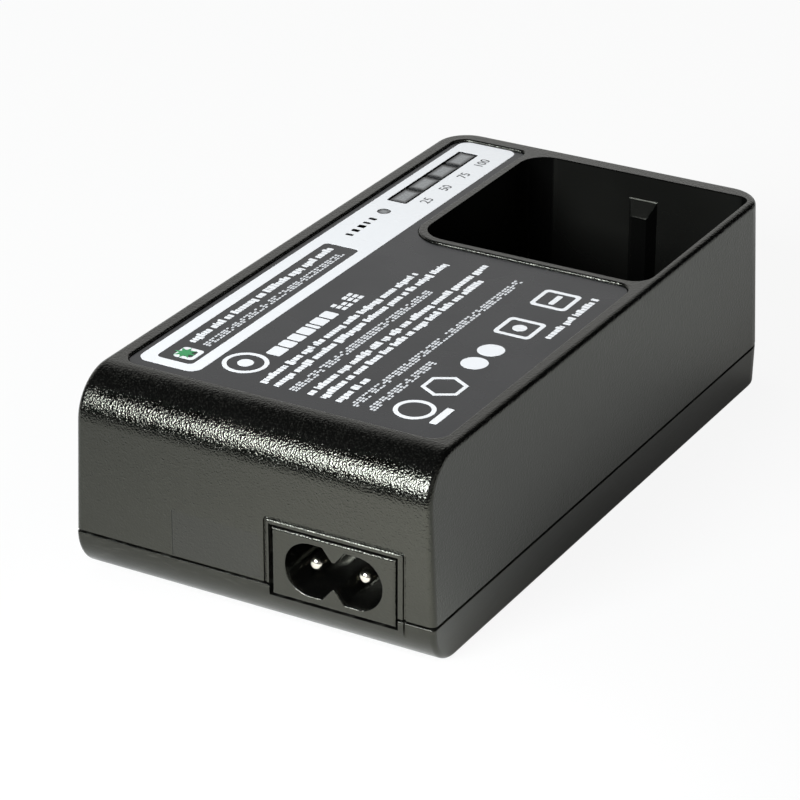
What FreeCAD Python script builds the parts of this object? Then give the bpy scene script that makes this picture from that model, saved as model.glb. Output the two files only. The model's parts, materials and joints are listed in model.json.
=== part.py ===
import FreeCAD, Part
import math
import os

import Sketcher

# Desk-top charger for one battery pack, in millimetres.
# +Z is up, +X is to the right of someone who faces the mains inlet, and the inlet faces -Y.
# The origin lies under the middle of the case, on the surface that it stands on.

doc = FreeCAD.newDocument("charger")
sheet = doc.addObject("Spreadsheet::Sheet", "sizes")

SIZES = [
    # Case
    ("body_width", 64.2, "width at the seam"),
    ("top_draft", 1.25, "each side draws in from the seam to the top"),
    ("base_draft", 0.2, "each side draws in from the seam to the underside"),
    ("body_length", 120.2, "length from the inlet face to the rear face"),
    ("body_height", 34.5, "overall height"),
    ("seam_height", 7.7, "middle of the seam between the two shells"),
    ("seam_gap", 0.4, "open shadow line at the seam"),
    ("wall", 1.8, "wall of both shells"),
    ("front_arc", 7.5, "radius of the upper front edge"),
    ("base_arc", 7.0, "radius of the lower front edge"),
    ("rear_corner", 6.0, "radius of the two rear corners in plan"),
    ("edge_round", 1.0, "rounding of the upper shell's other edges"),
    ("base_round", 0.8, "rounding of the lower shell's other edges"),
    ("rim_lip", 0.25, "rounding of the lower shell's rim at the seam"),
    ("tongue_wall", 0.8, "part of the wall that the tongue stands on"),
    ("tongue_lap", 0.25, "tongue past the inner face of the wall"),
    ("tongue_height", 1.6, "height of the tongue above the lower shell's rim"),
    ("tongue_gap", 0.12, "clearance round the tongue"),
    # Battery well
    ("well_width", 42.4, "inside width"),
    ("well_length", 42.4, "inside length"),
    ("rim_right", 1.35, "top of the case to the right of the well"),
    ("rim_rear", 3.4, "top of the case behind the well"),
    ("well_floor", 9.6, "height of the floor"),
    ("well_floor_wall", 1.6, "thickness of the floor"),
    ("well_wall", 1.4, "thickness of the inner walls, and width of the rim"),
    ("well_front_left_round", 5.0, "corner in plan"),
    ("well_front_right_round", 3.6, "corner in plan"),
    ("well_rear_left_round", 5.0, "corner in plan"),
    ("well_rear_right_round", 2.4, "corner in plan"),
    ("rib_offset", 0.7, "guide rib on the rear wall, to the right of the middle of the well"),
    ("rib_base", 5.4, "width at the wall"),
    ("rib_face", 2.9, "width at the face"),
    ("rib_depth", 1.7, "depth from the wall"),
    ("rib_drop", 4.5, "top of the rib below the top of the case"),
    ("rib_slope", 2.8, "height of the sloping lead-in"),
    ("rib_lip", 0.35, "rounding where the lead-in meets the face"),
    # Printed film and its lamps
    ("film_recess", 0.7, "depth of the recess"),
    ("recess_lip", 0.35, "rounding of the recess's upper edge"),
    ("film_thickness", 0.3, "thickness of the film"),
    ("film_gap", 0.15, "clearance round the film"),
    ("film_left_edge", 2.8, "recess from the left edge of the top"),
    ("film_right_edge", 2.55, "recess from the right edge of the top"),
    ("film_front_edge", 8.4, "recess from the front of the case"),
    ("film_rear_edge", 3.3, "strip beside the well from the rear of the case"),
    ("film_round", 2.8, "outer corners of the recess"),
    ("film_inner_round", 1.2, "corners beside the rim"),
    ("rim_round", 6.2, "outer corner of the well's rim"),
    ("lamp_edge", 4.8, "line of the charge lamps from the left edge of the recess"),
    ("lens_rear", 8.14, "middle of the rear lens from the rear edge of the recess"),
    ("lens_pitch", 6.64, "spacing of the lenses"),
    ("lens_length", 5.4, "length of one lens"),
    ("lens_width", 3.0, "width of one lens"),
    ("lens_gap", 0.1, "clearance of a lens in the roof"),
    ("lens_proud", 0.27, "height of a lens above the floor of the recess"),
    ("window_margin", 0.45, "edge of the window in the film beyond the lenses"),
    ("guide_plate", 1.2, "thickness of the plate that carries the lenses"),
    ("guide_margin", 0.7, "edge of that plate beyond the lenses"),
    ("power_edge", 5.05, "power lamp from the left edge of the recess"),
    ("power_space", 7.8, "power lamp in front of the front lens"),
    ("power_diameter", 2.2, "lens of the power lamp"),
    ("power_flange", 3.4, "its flange under the roof"),
    # Mains inlet
    ("inlet_edge", 14.45, "middle of the inlet from the right wall"),
    ("inlet_z", 11.85, "height of the pins"),
    ("plate_width", 21.6, "face of the inlet"),
    ("plate_height", 11.6, "face of the inlet"),
    ("plate_setback", 0.1, "face of the inlet behind the front of the case"),
    ("plate_gap", 0.42, "clearance beside and above the face"),
    ("plate_foot", 0.22, "clearance below the face"),
    ("plate_round", 0.5, "rounding of the edges of the face"),
    ("flange_air", 0.35, "flange behind the tongue of the lower shell"),
    ("flange_thickness", 1.5, "flange behind the front wall"),
    ("flange_edge", 1.2, "flange beyond the face"),
    ("groove_left", 1.35, "groove to the left of the inlet, from the face"),
    ("groove_right", 1.75, "groove to the right of the inlet, from the face"),
    ("groove_head", 1.65, "groove above the inlet, from the face"),
    ("groove_width", 0.45, "width of the groove"),
    ("groove_lip", 0.12, "rounding of the groove's edges"),
    ("groove_depth", 0.35, "depth of the groove"),
    ("groove_round", 1.0, "corners of the groove"),
    ("groove_foot", 4.7, "height at which its right leg ends"),
    ("mouth_width", 16.9, "figure-8 mouth"),
    ("mouth_height", 8.76, "figure-8 mouth"),
    ("mouth_depth", 10.2, "figure-8 mouth"),
    ("mouth_lip", 0.25, "rounding of the edge of the mouth"),
    ("notch_base", 3.9, "width of a notch at the edge of the mouth"),
    ("notch_tip", 0.55, "radius of the tip of a notch"),
    ("waist", 4.5, "height left between the two notches"),
    ("socket_width", 20.0, "body behind the flange"),
    ("socket_depth", 14.4, "inlet from face to back"),
    ("pin_pitch", 8.6, "spacing of the pins"),
    ("pin_diameter", 2.4, "diameter of the pins"),
    ("pin_round", 0.95, "rounding of their tips"),
    ("pin_setback", 1.85, "tips behind the front of the case"),
    ("pin_root", 2.8, "diameter of the pins within the body"),
    ("pin_past", 1.4, "pins past the back of the body"),
    ("tail_diameter", 1.2, "tails that go down into the board"),
    ("tail_under", 0.9, "tails below the board"),
    ("fit_gap", 0.05, "clearance of metal in its moulding"),
    # Screws and the posts and bosses that take them
    ("post_front_left_edge", 4.6, "from the left wall"),
    ("post_front_left_back", 12.1, "from the front of the case"),
    ("post_front_right_edge", 4.6, "from the right wall"),
    ("post_front_right_back", 19.1, "from the front of the case"),
    ("post_rear_left_edge", 2.9, "to the left of the well's rim"),
    ("post_rear_right_edge", 5.5, "to the left of the well's right wall"),
    ("post_rear_back", 13.1, "from the rear of the case"),
    ("post_foot", 8.4, "diameter of a post under the board"),
    ("post_head", 5.6, "diameter of a post through the board"),
    ("post_height", 6.0, "height at which post and boss meet"),
    ("boss_diameter", 6.0, "boss in the upper shell"),
    ("boss_rear_left_height", 14.0, "length of the boss beside the well"),
    ("screw_head", 5.0, "head diameter"),
    ("screw_head_height", 1.9, "head height"),
    ("screw_sink", 0.7, "head below the underside"),
    ("screw_diameter", 2.6, "shank diameter"),
    ("screw_length", 6.0, "shank length"),
    ("screw_gap", 0.3, "clearance of the screw in the lower shell"),
    ("pilot_past", 0.4, "pilot hole past the tip of the screw"),
    # Boards
    ("board_thickness", 1.6, "both boards"),
    ("board_under", 4.0, "underside of the main board"),
    ("board_edge", 0.9, "main board from the walls"),
    ("board_front_edge", 3.9, "main board from the front of the case"),
    ("board_hole_gap", 0.2, "clearance of the posts in the main board"),
    ("sheet_thickness", 0.3, "insulation sheet"),
    ("sheet_edge", 1.0, "insulation sheet from the walls"),
    ("sheet_front_edge", 9.1, "insulation sheet from the front of the case"),
    ("sheet_gap", 0.3, "clearance of the posts in the sheet"),
    ("lamp_height", 1.9, "surface-mounted lamp"),
    ("lamp_length", 3.2, "surface-mounted lamp"),
    ("lamp_width", 2.8, "surface-mounted lamp"),
    ("lamp_air", 0.3, "air between lamp and light guide"),
    ("indicator_edge", 1.25, "indicator board from the left wall"),
    ("indicator_rim_gap", 0.9, "indicator board from the well's rim"),
    ("indicator_rear_edge", 3.7, "indicator board from the rear of the case"),
    ("indicator_length", 43.4, "indicator board"),
    ("peg_diameter", 3.6, "pegs under the roof for the indicator board"),
    ("stake_diameter", 1.8, "heat-staked tips of the pegs"),
    ("stake_past", 0.6, "tips past the board"),
    ("peg_front_edge", 3.8, "from the right edge of the indicator board"),
    ("peg_front_in", 2.6, "from its front edge"),
    ("peg_rear_edge", 4.9, "from its left edge"),
    ("peg_rear_in", 2.4, "from its rear edge"),
    ("ribbon_edge", 2.8, "from the left edge of the indicator board"),
    ("ribbon_front", 20.0, "from its front edge"),
    ("ribbon_width", 10.2, "eight conductors"),
    ("ribbon_thickness", 0.9, "flat cable"),
    # Battery contacts
    ("contact_offset", 0.5, "row of blades behind the middle of the well"),
    ("blade_pitch", 6.0, "spacing of the blades"),
    ("blade_thickness", 0.8, "contact blade"),
    ("blade_length", 6.0, "contact blade"),
    ("blade_height", 6.0, "contact blade above the floor"),
    ("blade_slot_gap", 0.3, "clearance of a blade in the floor"),
    ("contact_length", 26.0, "contact block"),
    ("contact_depth", 9.0, "contact block"),
    ("contact_air", 0.1, "contact block below the floor"),
    # Parts on the main board
    ("line_cap_gap", 2.3, "film capacitor across the line, from the inlet's flange"),
    ("line_cap_back", 10.1, "film capacitor across the line, from the front"),
    ("line_cap_length", 14.0, "film capacitor across the line"),
    ("line_cap_depth", 8.0, "film capacitor across the line"),
    ("line_cap_height", 14.0, "film capacitor across the line"),
    ("line_cap_round", 1.0, "film capacitor across the line"),
    ("fuse_x", -7.0, "round micro fuse"),
    ("fuse_back", 20.6, "round micro fuse from the front of the case"),
    ("fuse_diameter", 8.4, "round micro fuse"),
    ("fuse_height", 7.7, "round micro fuse"),
    ("fuse_round", 0.6, "round micro fuse"),
    ("choke_x", 11.6, "common-mode choke"),
    ("choke_back", 25.1, "common-mode choke from the front of the case"),
    ("choke_outer", 13.0, "ring core"),
    ("choke_inner", 7.4, "ring core"),
    ("choke_height", 6.0, "ring core"),
    ("choke_wire", 1.2, "thickness of the windings"),
    ("choke_sweep_angle", 140.0, "sweep of each winding in degrees"),
    ("choke_start_angle", 20.0, "first winding from the right in degrees"),
    ("bridge_gap", 0.75, "bridge rectifier from the power transistor"),
    ("bridge_back", 35.5, "bridge rectifier from the front of the case"),
    ("bridge_length", 14.5, "bridge rectifier"),
    ("bridge_depth", 3.6, "bridge rectifier"),
    ("bridge_height", 10.5, "bridge rectifier"),
    ("bridge_bevel", 2.5, "bridge rectifier's bevelled corner"),
    ("bulk_edge", 1.05, "input capacitor from the left wall"),
    ("bulk_back", 27.6, "input capacitor from the front of the case"),
    ("bulk_diameter", 14.0, "input capacitor"),
    ("bulk_air", 2.1, "input capacitor below the roof"),
    ("can_round", 1.0, "rounding of the capacitors' cans"),
    ("can_bead", 0.5, "bead rolled into a can"),
    ("can_bead_height", 2.4, "bead above the board"),
    ("core_x", -1.5, "transformer"),
    ("core_gap", 0.8, "transformer in front of the well"),
    ("core_leg", 7.0, "middle leg, and height of the core"),
    ("core_back", 3.0, "back and outer legs"),
    ("core_window", 4.6, "width of each window"),
    ("core_window_length", 14.0, "length of the windows"),
    ("bobbin_wall", 0.9, "tube and flanges"),
    ("bobbin_rail", 5.5, "height of the pin rails"),
    ("bobbin_height", 17.0, "flanges"),
    ("bobbin_gap", 0.1, "clearance between core and bobbin"),
    ("coil_inset", 0.5, "coil within the flanges"),
    ("sink_height", 21.0, "both heat sinks"),
    ("sink_base", 1.6, "plate of a heat sink"),
    ("sink_fin", 2.4, "reach of a fin"),
    ("sink_fin_thickness", 1.0, "fin"),
    ("sink_fin_pitch", 4.0, "fins"),
    ("sink_edge", 0.65, "fins of both heat sinks from the walls"),
    ("switch_sink_back", 29.1, "heat sink of the switch from the front of the case"),
    ("output_sink_back", 38.1, "heat sink of the rectifier from the front of the case"),
    ("sink_fins", 5, "fins of a heat sink"),
    ("package_width", 10.0, "power transistor and rectifier"),
    ("package_depth", 4.4, "power transistor and rectifier"),
    ("package_height", 9.2, "moulded body"),
    ("package_tab", 6.2, "metal tab above the body"),
    ("package_tab_thickness", 1.3, "metal tab"),
    ("package_tab_hole", 3.6, "hole in the tab"),
    ("package_leg", 4.5, "height of the body above the board"),
    ("package_leg_width", 0.9, "legs"),
    ("package_leg_pitch", 2.54, "legs"),
    ("switch_in", 7.0, "middle of the power transistor from the end of its heat sink"),
    ("output_in", 10.0, "middle of the rectifier from the end of its heat sink"),
    ("safety_x", -7.2, "disc capacitor"),
    ("safety_back", 33.6, "disc capacitor from the front of the case"),
    ("safety_diameter", 9.0, "disc capacitor"),
    ("safety_thickness", 4.0, "disc capacitor"),
    ("safety_round", 1.4, "disc capacitor"),
    ("opto_gap", 4.0, "optocoupler to the right of the transformer"),
    ("opto_offset", 8.0, "optocoupler in front of the middle of the transformer"),
    ("opto_length", 4.6, "optocoupler"),
    ("opto_width", 6.4, "optocoupler"),
    ("opto_height", 3.5, "optocoupler"),
    ("chip_x", 3.5, "charge controller"),
    ("chip_in", 4.6, "charge controller behind the front of the well's rim"),
    ("chip_length", 5.0, "charge controller"),
    ("chip_width", 3.9, "charge controller"),
    ("chip_height", 1.5, "charge controller"),
    ("chip_stand", 0.2, "moulded body above the board"),
    ("chip_leg", 0.4, "width of a leg"),
    ("chip_reach", 1.0, "reach of a leg"),
    ("output_cap_gap", 1.9, "front output capacitor from the front of the well's rim"),
    ("output_cap_pitch", 9.0, "spacing of the output capacitors"),
    ("output_cap_diameter", 6.3, "output capacitors"),
    ("output_cap_height", 16.0, "output capacitors"),
    ("coil_edge", 3.05, "output inductor from the right wall"),
    ("coil_gap", 9.9, "output inductor from the front of the well's rim"),
    ("coil_outer", 11.0, "ring core"),
    ("coil_inner", 6.0, "ring core"),
    ("coil_height", 5.0, "ring core"),
    ("coil_wire", 1.0, "thickness of the winding"),
    ("coil_sweep_angle", 310.0, "sweep of the winding in degrees"),
    ("coil_start_angle", 25.0, "winding from the right in degrees"),
]


class Size:
    """A number together with the expression that gives it from the sheet's cells."""

    def __init__(self, text, number):
        self.text = text
        self.number = number

    def __add__(self, other):
        other = as_size(other)
        return Size(f"({self.text} + {other.text})", self.number + other.number)

    def __sub__(self, other):
        other = as_size(other)
        return Size(f"({self.text} - {other.text})", self.number - other.number)

    def __mul__(self, factor):
        factor = as_size(factor)
        return Size(f"{self.text} * {factor.text}", self.number * factor.number)

    def __truediv__(self, factor):
        factor = as_size(factor)
        return Size(f"{self.text} / {factor.text}", self.number / factor.number)

    def __neg__(self):
        return Size(f"(0 - {self.text})", -self.number)


def as_size(value):
    """A plain number stands for itself."""
    if isinstance(value, Size):
        return value
    return Size(f"({value})", value)


class Sizes:
    """The driving dimensions by name."""


dim = Sizes()
for row, (name, number, note) in enumerate(SIZES, start=1):
    sheet.set(f"A{row}", name.replace("_", " "))
    sheet.set(f"B{row}", str(number))
    sheet.set(f"C{row}", note)
    sheet.setAlias(f"B{row}", name)
    setattr(dim, name, Size(f"sizes.{name}", float(number)))
doc.recompute()

def smaller(first, second):
    return Size(f"min({first.text}; {second.text})", min(first.number, second.number))


# Places that several pieces share
half_length = dim.body_length / 2
top_width = dim.body_width - dim.top_draft * 2
base_width = dim.body_width - dim.base_draft * 2
lower_side = base_width / 2 - dim.wall
upper_side = top_width / 2 - dim.wall
inner_side = smaller(lower_side, upper_side)
upper_rim = dim.seam_height + dim.seam_gap / 2
lower_rim = dim.seam_height - dim.seam_gap / 2
roof_under = dim.body_height - dim.wall
recess_floor = dim.body_height - dim.film_recess
well_right = top_width / 2 - dim.rim_right
well_rear = half_length - dim.rim_rear
well_left = well_right - dim.well_width
well_front = well_rear - dim.well_length
well_x = well_right - dim.well_width / 2
well_under = dim.well_floor - dim.well_floor_wall
rim_left = well_left - dim.well_wall
rim_front = well_front - dim.well_wall
film_left = dim.film_left_edge - top_width / 2
film_rear = half_length - dim.film_rear_edge
lamp_x = film_left + dim.lamp_edge
power_x = film_left + dim.power_edge
inlet_x = inner_side - dim.inlet_edge
plate_thickness = dim.wall + dim.tongue_lap + dim.flange_air - dim.plate_setback
plate_low = dim.inlet_z - dim.plate_height / 2
plate_top = dim.inlet_z + dim.plate_height / 2
groove_left = inlet_x - dim.plate_width / 2 - dim.groove_left
groove_right = inlet_x + dim.plate_width / 2 + dim.groove_right
groove_top = plate_top + dim.groove_head
inlet_face = half_length - dim.plate_setback
pin_back = dim.socket_depth + dim.pin_past - inlet_face
tail_y = pin_back - dim.tail_diameter / 2
board_top = dim.board_under + dim.board_thickness
guide_under = roof_under - dim.guide_plate
indicator_top = guide_under - dim.lamp_air - dim.lamp_height
indicator_under = indicator_top - dim.board_thickness
indicator_left = dim.indicator_edge - upper_side
indicator_right = rim_left - dim.indicator_rim_gap
indicator_rear = half_length - dim.indicator_rear_edge
indicator_front = indicator_rear - dim.indicator_length
contact_y = well_rear - dim.well_length / 2 + dim.contact_offset
core_depth = dim.core_leg + dim.core_window * 2 + dim.core_back * 2
core_length = dim.core_window_length + dim.core_back * 2
core_y = rim_front - dim.core_gap - core_depth / 2
switch_sink_y = dim.switch_sink_back - half_length
output_sink_y = dim.output_sink_back - half_length
sink_face = inner_side - dim.sink_edge - dim.sink_fin - dim.sink_base
head_seat = dim.screw_sink + dim.screw_head_height
POSTS = {
    "FrontLeft": (dim.post_front_left_edge - inner_side, dim.post_front_left_back - half_length),
    "FrontRight": (inner_side - dim.post_front_right_edge, dim.post_front_right_back - half_length),
    "RearLeft": (rim_left - dim.post_rear_left_edge, half_length - dim.post_rear_back),
    "RearRight": (well_right - dim.post_rear_right_edge, half_length - dim.post_rear_back),
}
PEGS = {
    "Front": (indicator_right - dim.peg_front_edge, indicator_front + dim.peg_front_in),
    "Rear": (indicator_left + dim.peg_rear_edge, indicator_rear - dim.peg_rear_in),
}
PINS = [inlet_x - dim.pin_pitch / 2, inlet_x + dim.pin_pitch / 2]
LENSES = [film_rear - dim.lens_rear - dim.lens_pitch * (3 - i) for i in range(4)]
BLADES = [well_x + dim.blade_pitch * (i - 1.5) for i in range(4)]
power_y = LENSES[0] - dim.power_space

nodes = []


def node(item, label):
    """Names a finished piece, which is then written to a file of that name."""
    item.Label = label
    nodes.append(item)
    return item


# Sketches and features of a body
def new_body(name):
    return doc.addObject("PartDesign::Body", name)


def sketch(body, name, role, lift=0):
    """A sketch on one of the body's own planes, lifted along that plane's normal."""
    made = body.newObject("Sketcher::SketchObject", name)
    plane = next(item for item in body.Origin.OriginFeatures if item.Role == role)
    made.AttachmentSupport = [(plane, "")]
    made.MapMode = "FlatFace"
    made.setExpression("AttachmentOffset.Base.z", as_size(lift).text)
    return made


def bind(made, constraint, size):
    """Adds a dimension to a sketch and ties it to the sheet."""
    index = made.addConstraint(constraint)
    made.setExpression(f"Constraints[{index}]", size.text)


def pin_point(made, geometry, end, x, y):
    bind(made, Sketcher.Constraint("DistanceX", -1, 1, geometry, end, x.number), x)
    bind(made, Sketcher.Constraint("DistanceY", -1, 1, geometry, end, y.number), y)


def vector(x, y):
    return FreeCAD.Vector(as_size(x).number, as_size(y).number, 0)


def path(made, points, arcs=None):
    """Closed run of lines through points. arcs maps a point's index to the arc that leaves it:
    its centre, its radius and whether it turns left."""
    arcs = arcs or {}
    points = [(as_size(x), as_size(y)) for x, y in points]
    ends = []
    for i, start in enumerate(points):
        a = vector(*start)
        b = vector(*points[(i + 1) % len(points)])
        if i not in arcs:
            ends.append((made.addGeometry(Part.LineSegment(a, b)), 1, 2))
            continue
        centre, radius, left = arcs[i]
        middle = vector(*centre)
        angles = [math.atan2(p.y - middle.y, p.x - middle.x) for p in ((a, b) if left else (b, a))]
        round_edge = Part.Circle(middle, FreeCAD.Vector(0, 0, 1), radius.number)
        geometry = made.addGeometry(Part.ArcOfCircle(round_edge, *angles))
        upright = abs(b.y - a.y) >= abs(b.x - a.x)
        kind, size = ("DistanceX", centre[0]) if upright else ("DistanceY", centre[1])
        size = as_size(size)
        bind(made, Sketcher.Constraint(kind, -1, 1, geometry, 3, size.number), size)
        ends.append((geometry, 1, 2) if left else (geometry, 2, 1))
    for i, (geometry, first, last) in enumerate(ends):
        following, entry, _ = ends[(i + 1) % len(ends)]
        made.addConstraint(Sketcher.Constraint("Coincident", geometry, last, following, entry))
        pin_point(made, geometry, first, *points[i])


def sign(value):
    return (value > 1e-9) - (value < -1e-9)


def outline(made, corners):
    """Closed outline with sides along the axes, through corners (x, y, radius or None)."""
    points = []
    arcs = {}
    count = len(corners)
    for i, (x, y, radius) in enumerate(corners):
        x, y = as_size(x), as_size(y)
        if radius is None:
            points.append((x, y))
            continue
        before = vector(*corners[i - 1][:2])
        after = vector(*corners[(i + 1) % count][:2])
        come = (sign(x.number - before.x), sign(y.number - before.y))
        leave = (sign(after.x - x.number), sign(after.y - y.number))
        left = come[0] * leave[1] - come[1] * leave[0] > 0
        centre = (x + radius * (leave[0] - come[0]), y + radius * (leave[1] - come[1]))
        arcs[len(points)] = (centre, radius, left)
        points.append((x - radius * come[0], y - radius * come[1]))
        points.append((x + radius * leave[0], y + radius * leave[1]))
    path(made, points, arcs)


def rectangle(made, left, right, low, high, radius=None):
    corners = [(left, low), (right, low), (right, high), (left, high)]
    outline(made, [(x, y, radius) for x, y in corners])


def circle(made, x, y, diameter):
    x, y = as_size(x), as_size(y)
    shape = Part.Circle(vector(x, y), FreeCAD.Vector(0, 0, 1), diameter.number / 2)
    geometry = made.addGeometry(shape)
    pin_point(made, geometry, 3, x, y)
    bind(made, Sketcher.Constraint("Diameter", geometry, diameter.number), diameter)


def circles(made, places, diameter):
    for x, y in places.values():
        circle(made, x, y, diameter)


def feature(body, kind, profile, length, reverse=False, symmetric=False):
    """A Pad or Pocket of a sketch, which has to change the volume of the body."""
    before = body.Shape.Volume if body.Tip is not None and not body.Shape.isNull() else 0.0
    made = body.newObject(f"PartDesign::{kind}", f"{profile.Name}{kind}")
    made.Profile = profile
    made.Reversed = reverse
    made.SideType = "Symmetric" if symmetric else "One side"
    made.setExpression("Length", as_size(length).text)
    doc.recompute()
    change = body.Shape.Volume - before
    if (change > 0) != (kind == "Pad"):
        raise RuntimeError(f"{made.Name} changes the volume by {change:.3f}")
    return made


def pad(body, profile, length, **options):
    return feature(body, "Pad", profile, length, **options)


def pocket(body, profile, length, **options):
    return feature(body, "Pocket", profile, length, **options)


def edges_where(shape, test):
    return [f"Edge{i}" for i, edge in enumerate(shape.Edges, start=1) if test(edge)]


def along(edge, x=None, y=None, z=None, near=0.02):
    """Whether every vertex of an edge lies at the given coordinates."""
    wanted = (x, y, z)
    for vertex in edge.Vertexes:
        for value, place in zip(wanted, vertex.Point):
            if value is not None and abs(place - value.number) > near:
                return False
    return True


def fillet(body, name, test, radius):
    base = body.Tip
    made = body.newObject("PartDesign::Fillet", name)
    made.Base = (base, edges_where(base.Shape, test))
    made.setExpression("Radius", radius.text)
    doc.recompute()
    return made


def hollow(body, name, test):
    """Leaves a shell of the wall's thickness, open at the face that passes the test."""
    base = body.Tip
    faces = [f"Face{i}" for i, face in enumerate(base.Shape.Faces, start=1) if test(face)]
    made = body.newObject("PartDesign::Thickness", name)
    made.Base = (base, faces)
    made.Join = "Intersection"
    made.Reversed = True
    made.setExpression("Value", dim.wall.text)
    doc.recompute()
    if made.Shape.BoundBox.XLength > base.Shape.BoundBox.XLength + 1e-6:
        raise RuntimeError(f"{name} grew outwards")
    return made


# Shapes from primitives
def box(name, x, y, z, length, width, height):
    """A box from its lower left front corner."""
    made = doc.addObject("Part::Box", name)
    cells = {"Length": length, "Width": width, "Height": height}
    cells.update({"Placement.Base.x": x, "Placement.Base.y": y, "Placement.Base.z": z})
    for item, size in cells.items():
        made.setExpression(item, as_size(size).text)
    return made


def block(name, x, y, z, length, width, height):
    """A box that stands on z with its middle at x and y."""
    length, width = as_size(length), as_size(width)
    return box(name, as_size(x) - length / 2, as_size(y) - width / 2, z, length, width, height)


UPRIGHT = FreeCAD.Rotation()
REARWARD = FreeCAD.Rotation(FreeCAD.Vector(1, 0, 0), -90)
RIGHTWARD = FreeCAD.Rotation(FreeCAD.Vector(0, 1, 0), 90)


def cylinder(name, x, y, z, diameter, height, turn=UPRIGHT, sweep=None):
    """A cylinder from the middle of its first end."""
    made = doc.addObject("Part::Cylinder", name)
    made.Placement.Rotation = turn
    made.setExpression("Radius", (as_size(diameter) / 2).text)
    cells = {"Height": height, "Placement.Base.x": x, "Placement.Base.y": y, "Placement.Base.z": z}
    for item, size in cells.items():
        made.setExpression(item, as_size(size).text)
    if sweep is not None:
        made.setExpression("Angle", sweep.text)
    return made


def cut(name, base, tool):
    made = doc.addObject("Part::Cut", name)
    made.Base = base
    made.Tool = tool
    return made


def fuse(name, items):
    made = doc.addObject("Part::MultiFuse", name)
    made.Shapes = items
    made.Refine = True
    return made


def group(name, items):
    """Like pieces that share one node and stay separate solids."""
    made = doc.addObject("Part::Compound", name)
    made.Links = items
    return made


def rounded(name, base, test, radius):
    doc.recompute()
    made = doc.addObject("Part::Fillet", name)
    made.Base = base
    edges = [i for i, edge in enumerate(base.Shape.Edges, start=1) if test(edge)]
    made.Edges = [(i, radius.number, radius.number) for i in edges]
    return made


def is_upright(edge):
    run = edge.Vertexes[-1].Point - edge.Vertexes[0].Point
    return abs(run.z) > 1e-6 and math.hypot(run.x, run.y) < 1e-6


def is_raised(edge):
    return edge.BoundBox.ZMin > board_top.number + 1


def plan(made, inset):
    """The case in plan at the seam, drawn smaller by inset on every side."""
    side = dim.body_width / 2 - inset
    end = half_length - inset
    rear = dim.rear_corner - inset
    outline(made, [(-side, -end, None), (side, -end, None), (side, end, rear), (-side, end, rear)])


def shell_blank(body, low, high, low_width, high_width, arc, arc_low):
    """The outer form of one shell before it is hollowed: a front view drawn with its draft and carried
    along the case, with the front edge and the rear corners rounded."""
    view = sketch(body, f"{body.Name}View", "XZ_Plane")
    path(view, [
        (-low_width / 2, low),
        (low_width / 2, low),
        (high_width / 2, high),
        (-high_width / 2, high),
    ])
    pad(body, view, dim.body_length, symmetric=True)
    level = low if arc_low else high
    fillet(body, f"{body.Name}Arc", lambda edge: along(edge, y=-half_length, z=level), arc)
    fillet(
        body,
        f"{body.Name}Corners",
        lambda edge: along(edge, y=half_length) and not along(edge, z=low) and not along(edge, z=high),
        dim.rear_corner,
    )


def level_face(height):
    """A test for the flat face at a height."""
    def test(face):
        bounds = face.BoundBox
        return abs(bounds.ZMin - height.number) < 1e-4 and bounds.ZLength < 1e-4
    return test


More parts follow.
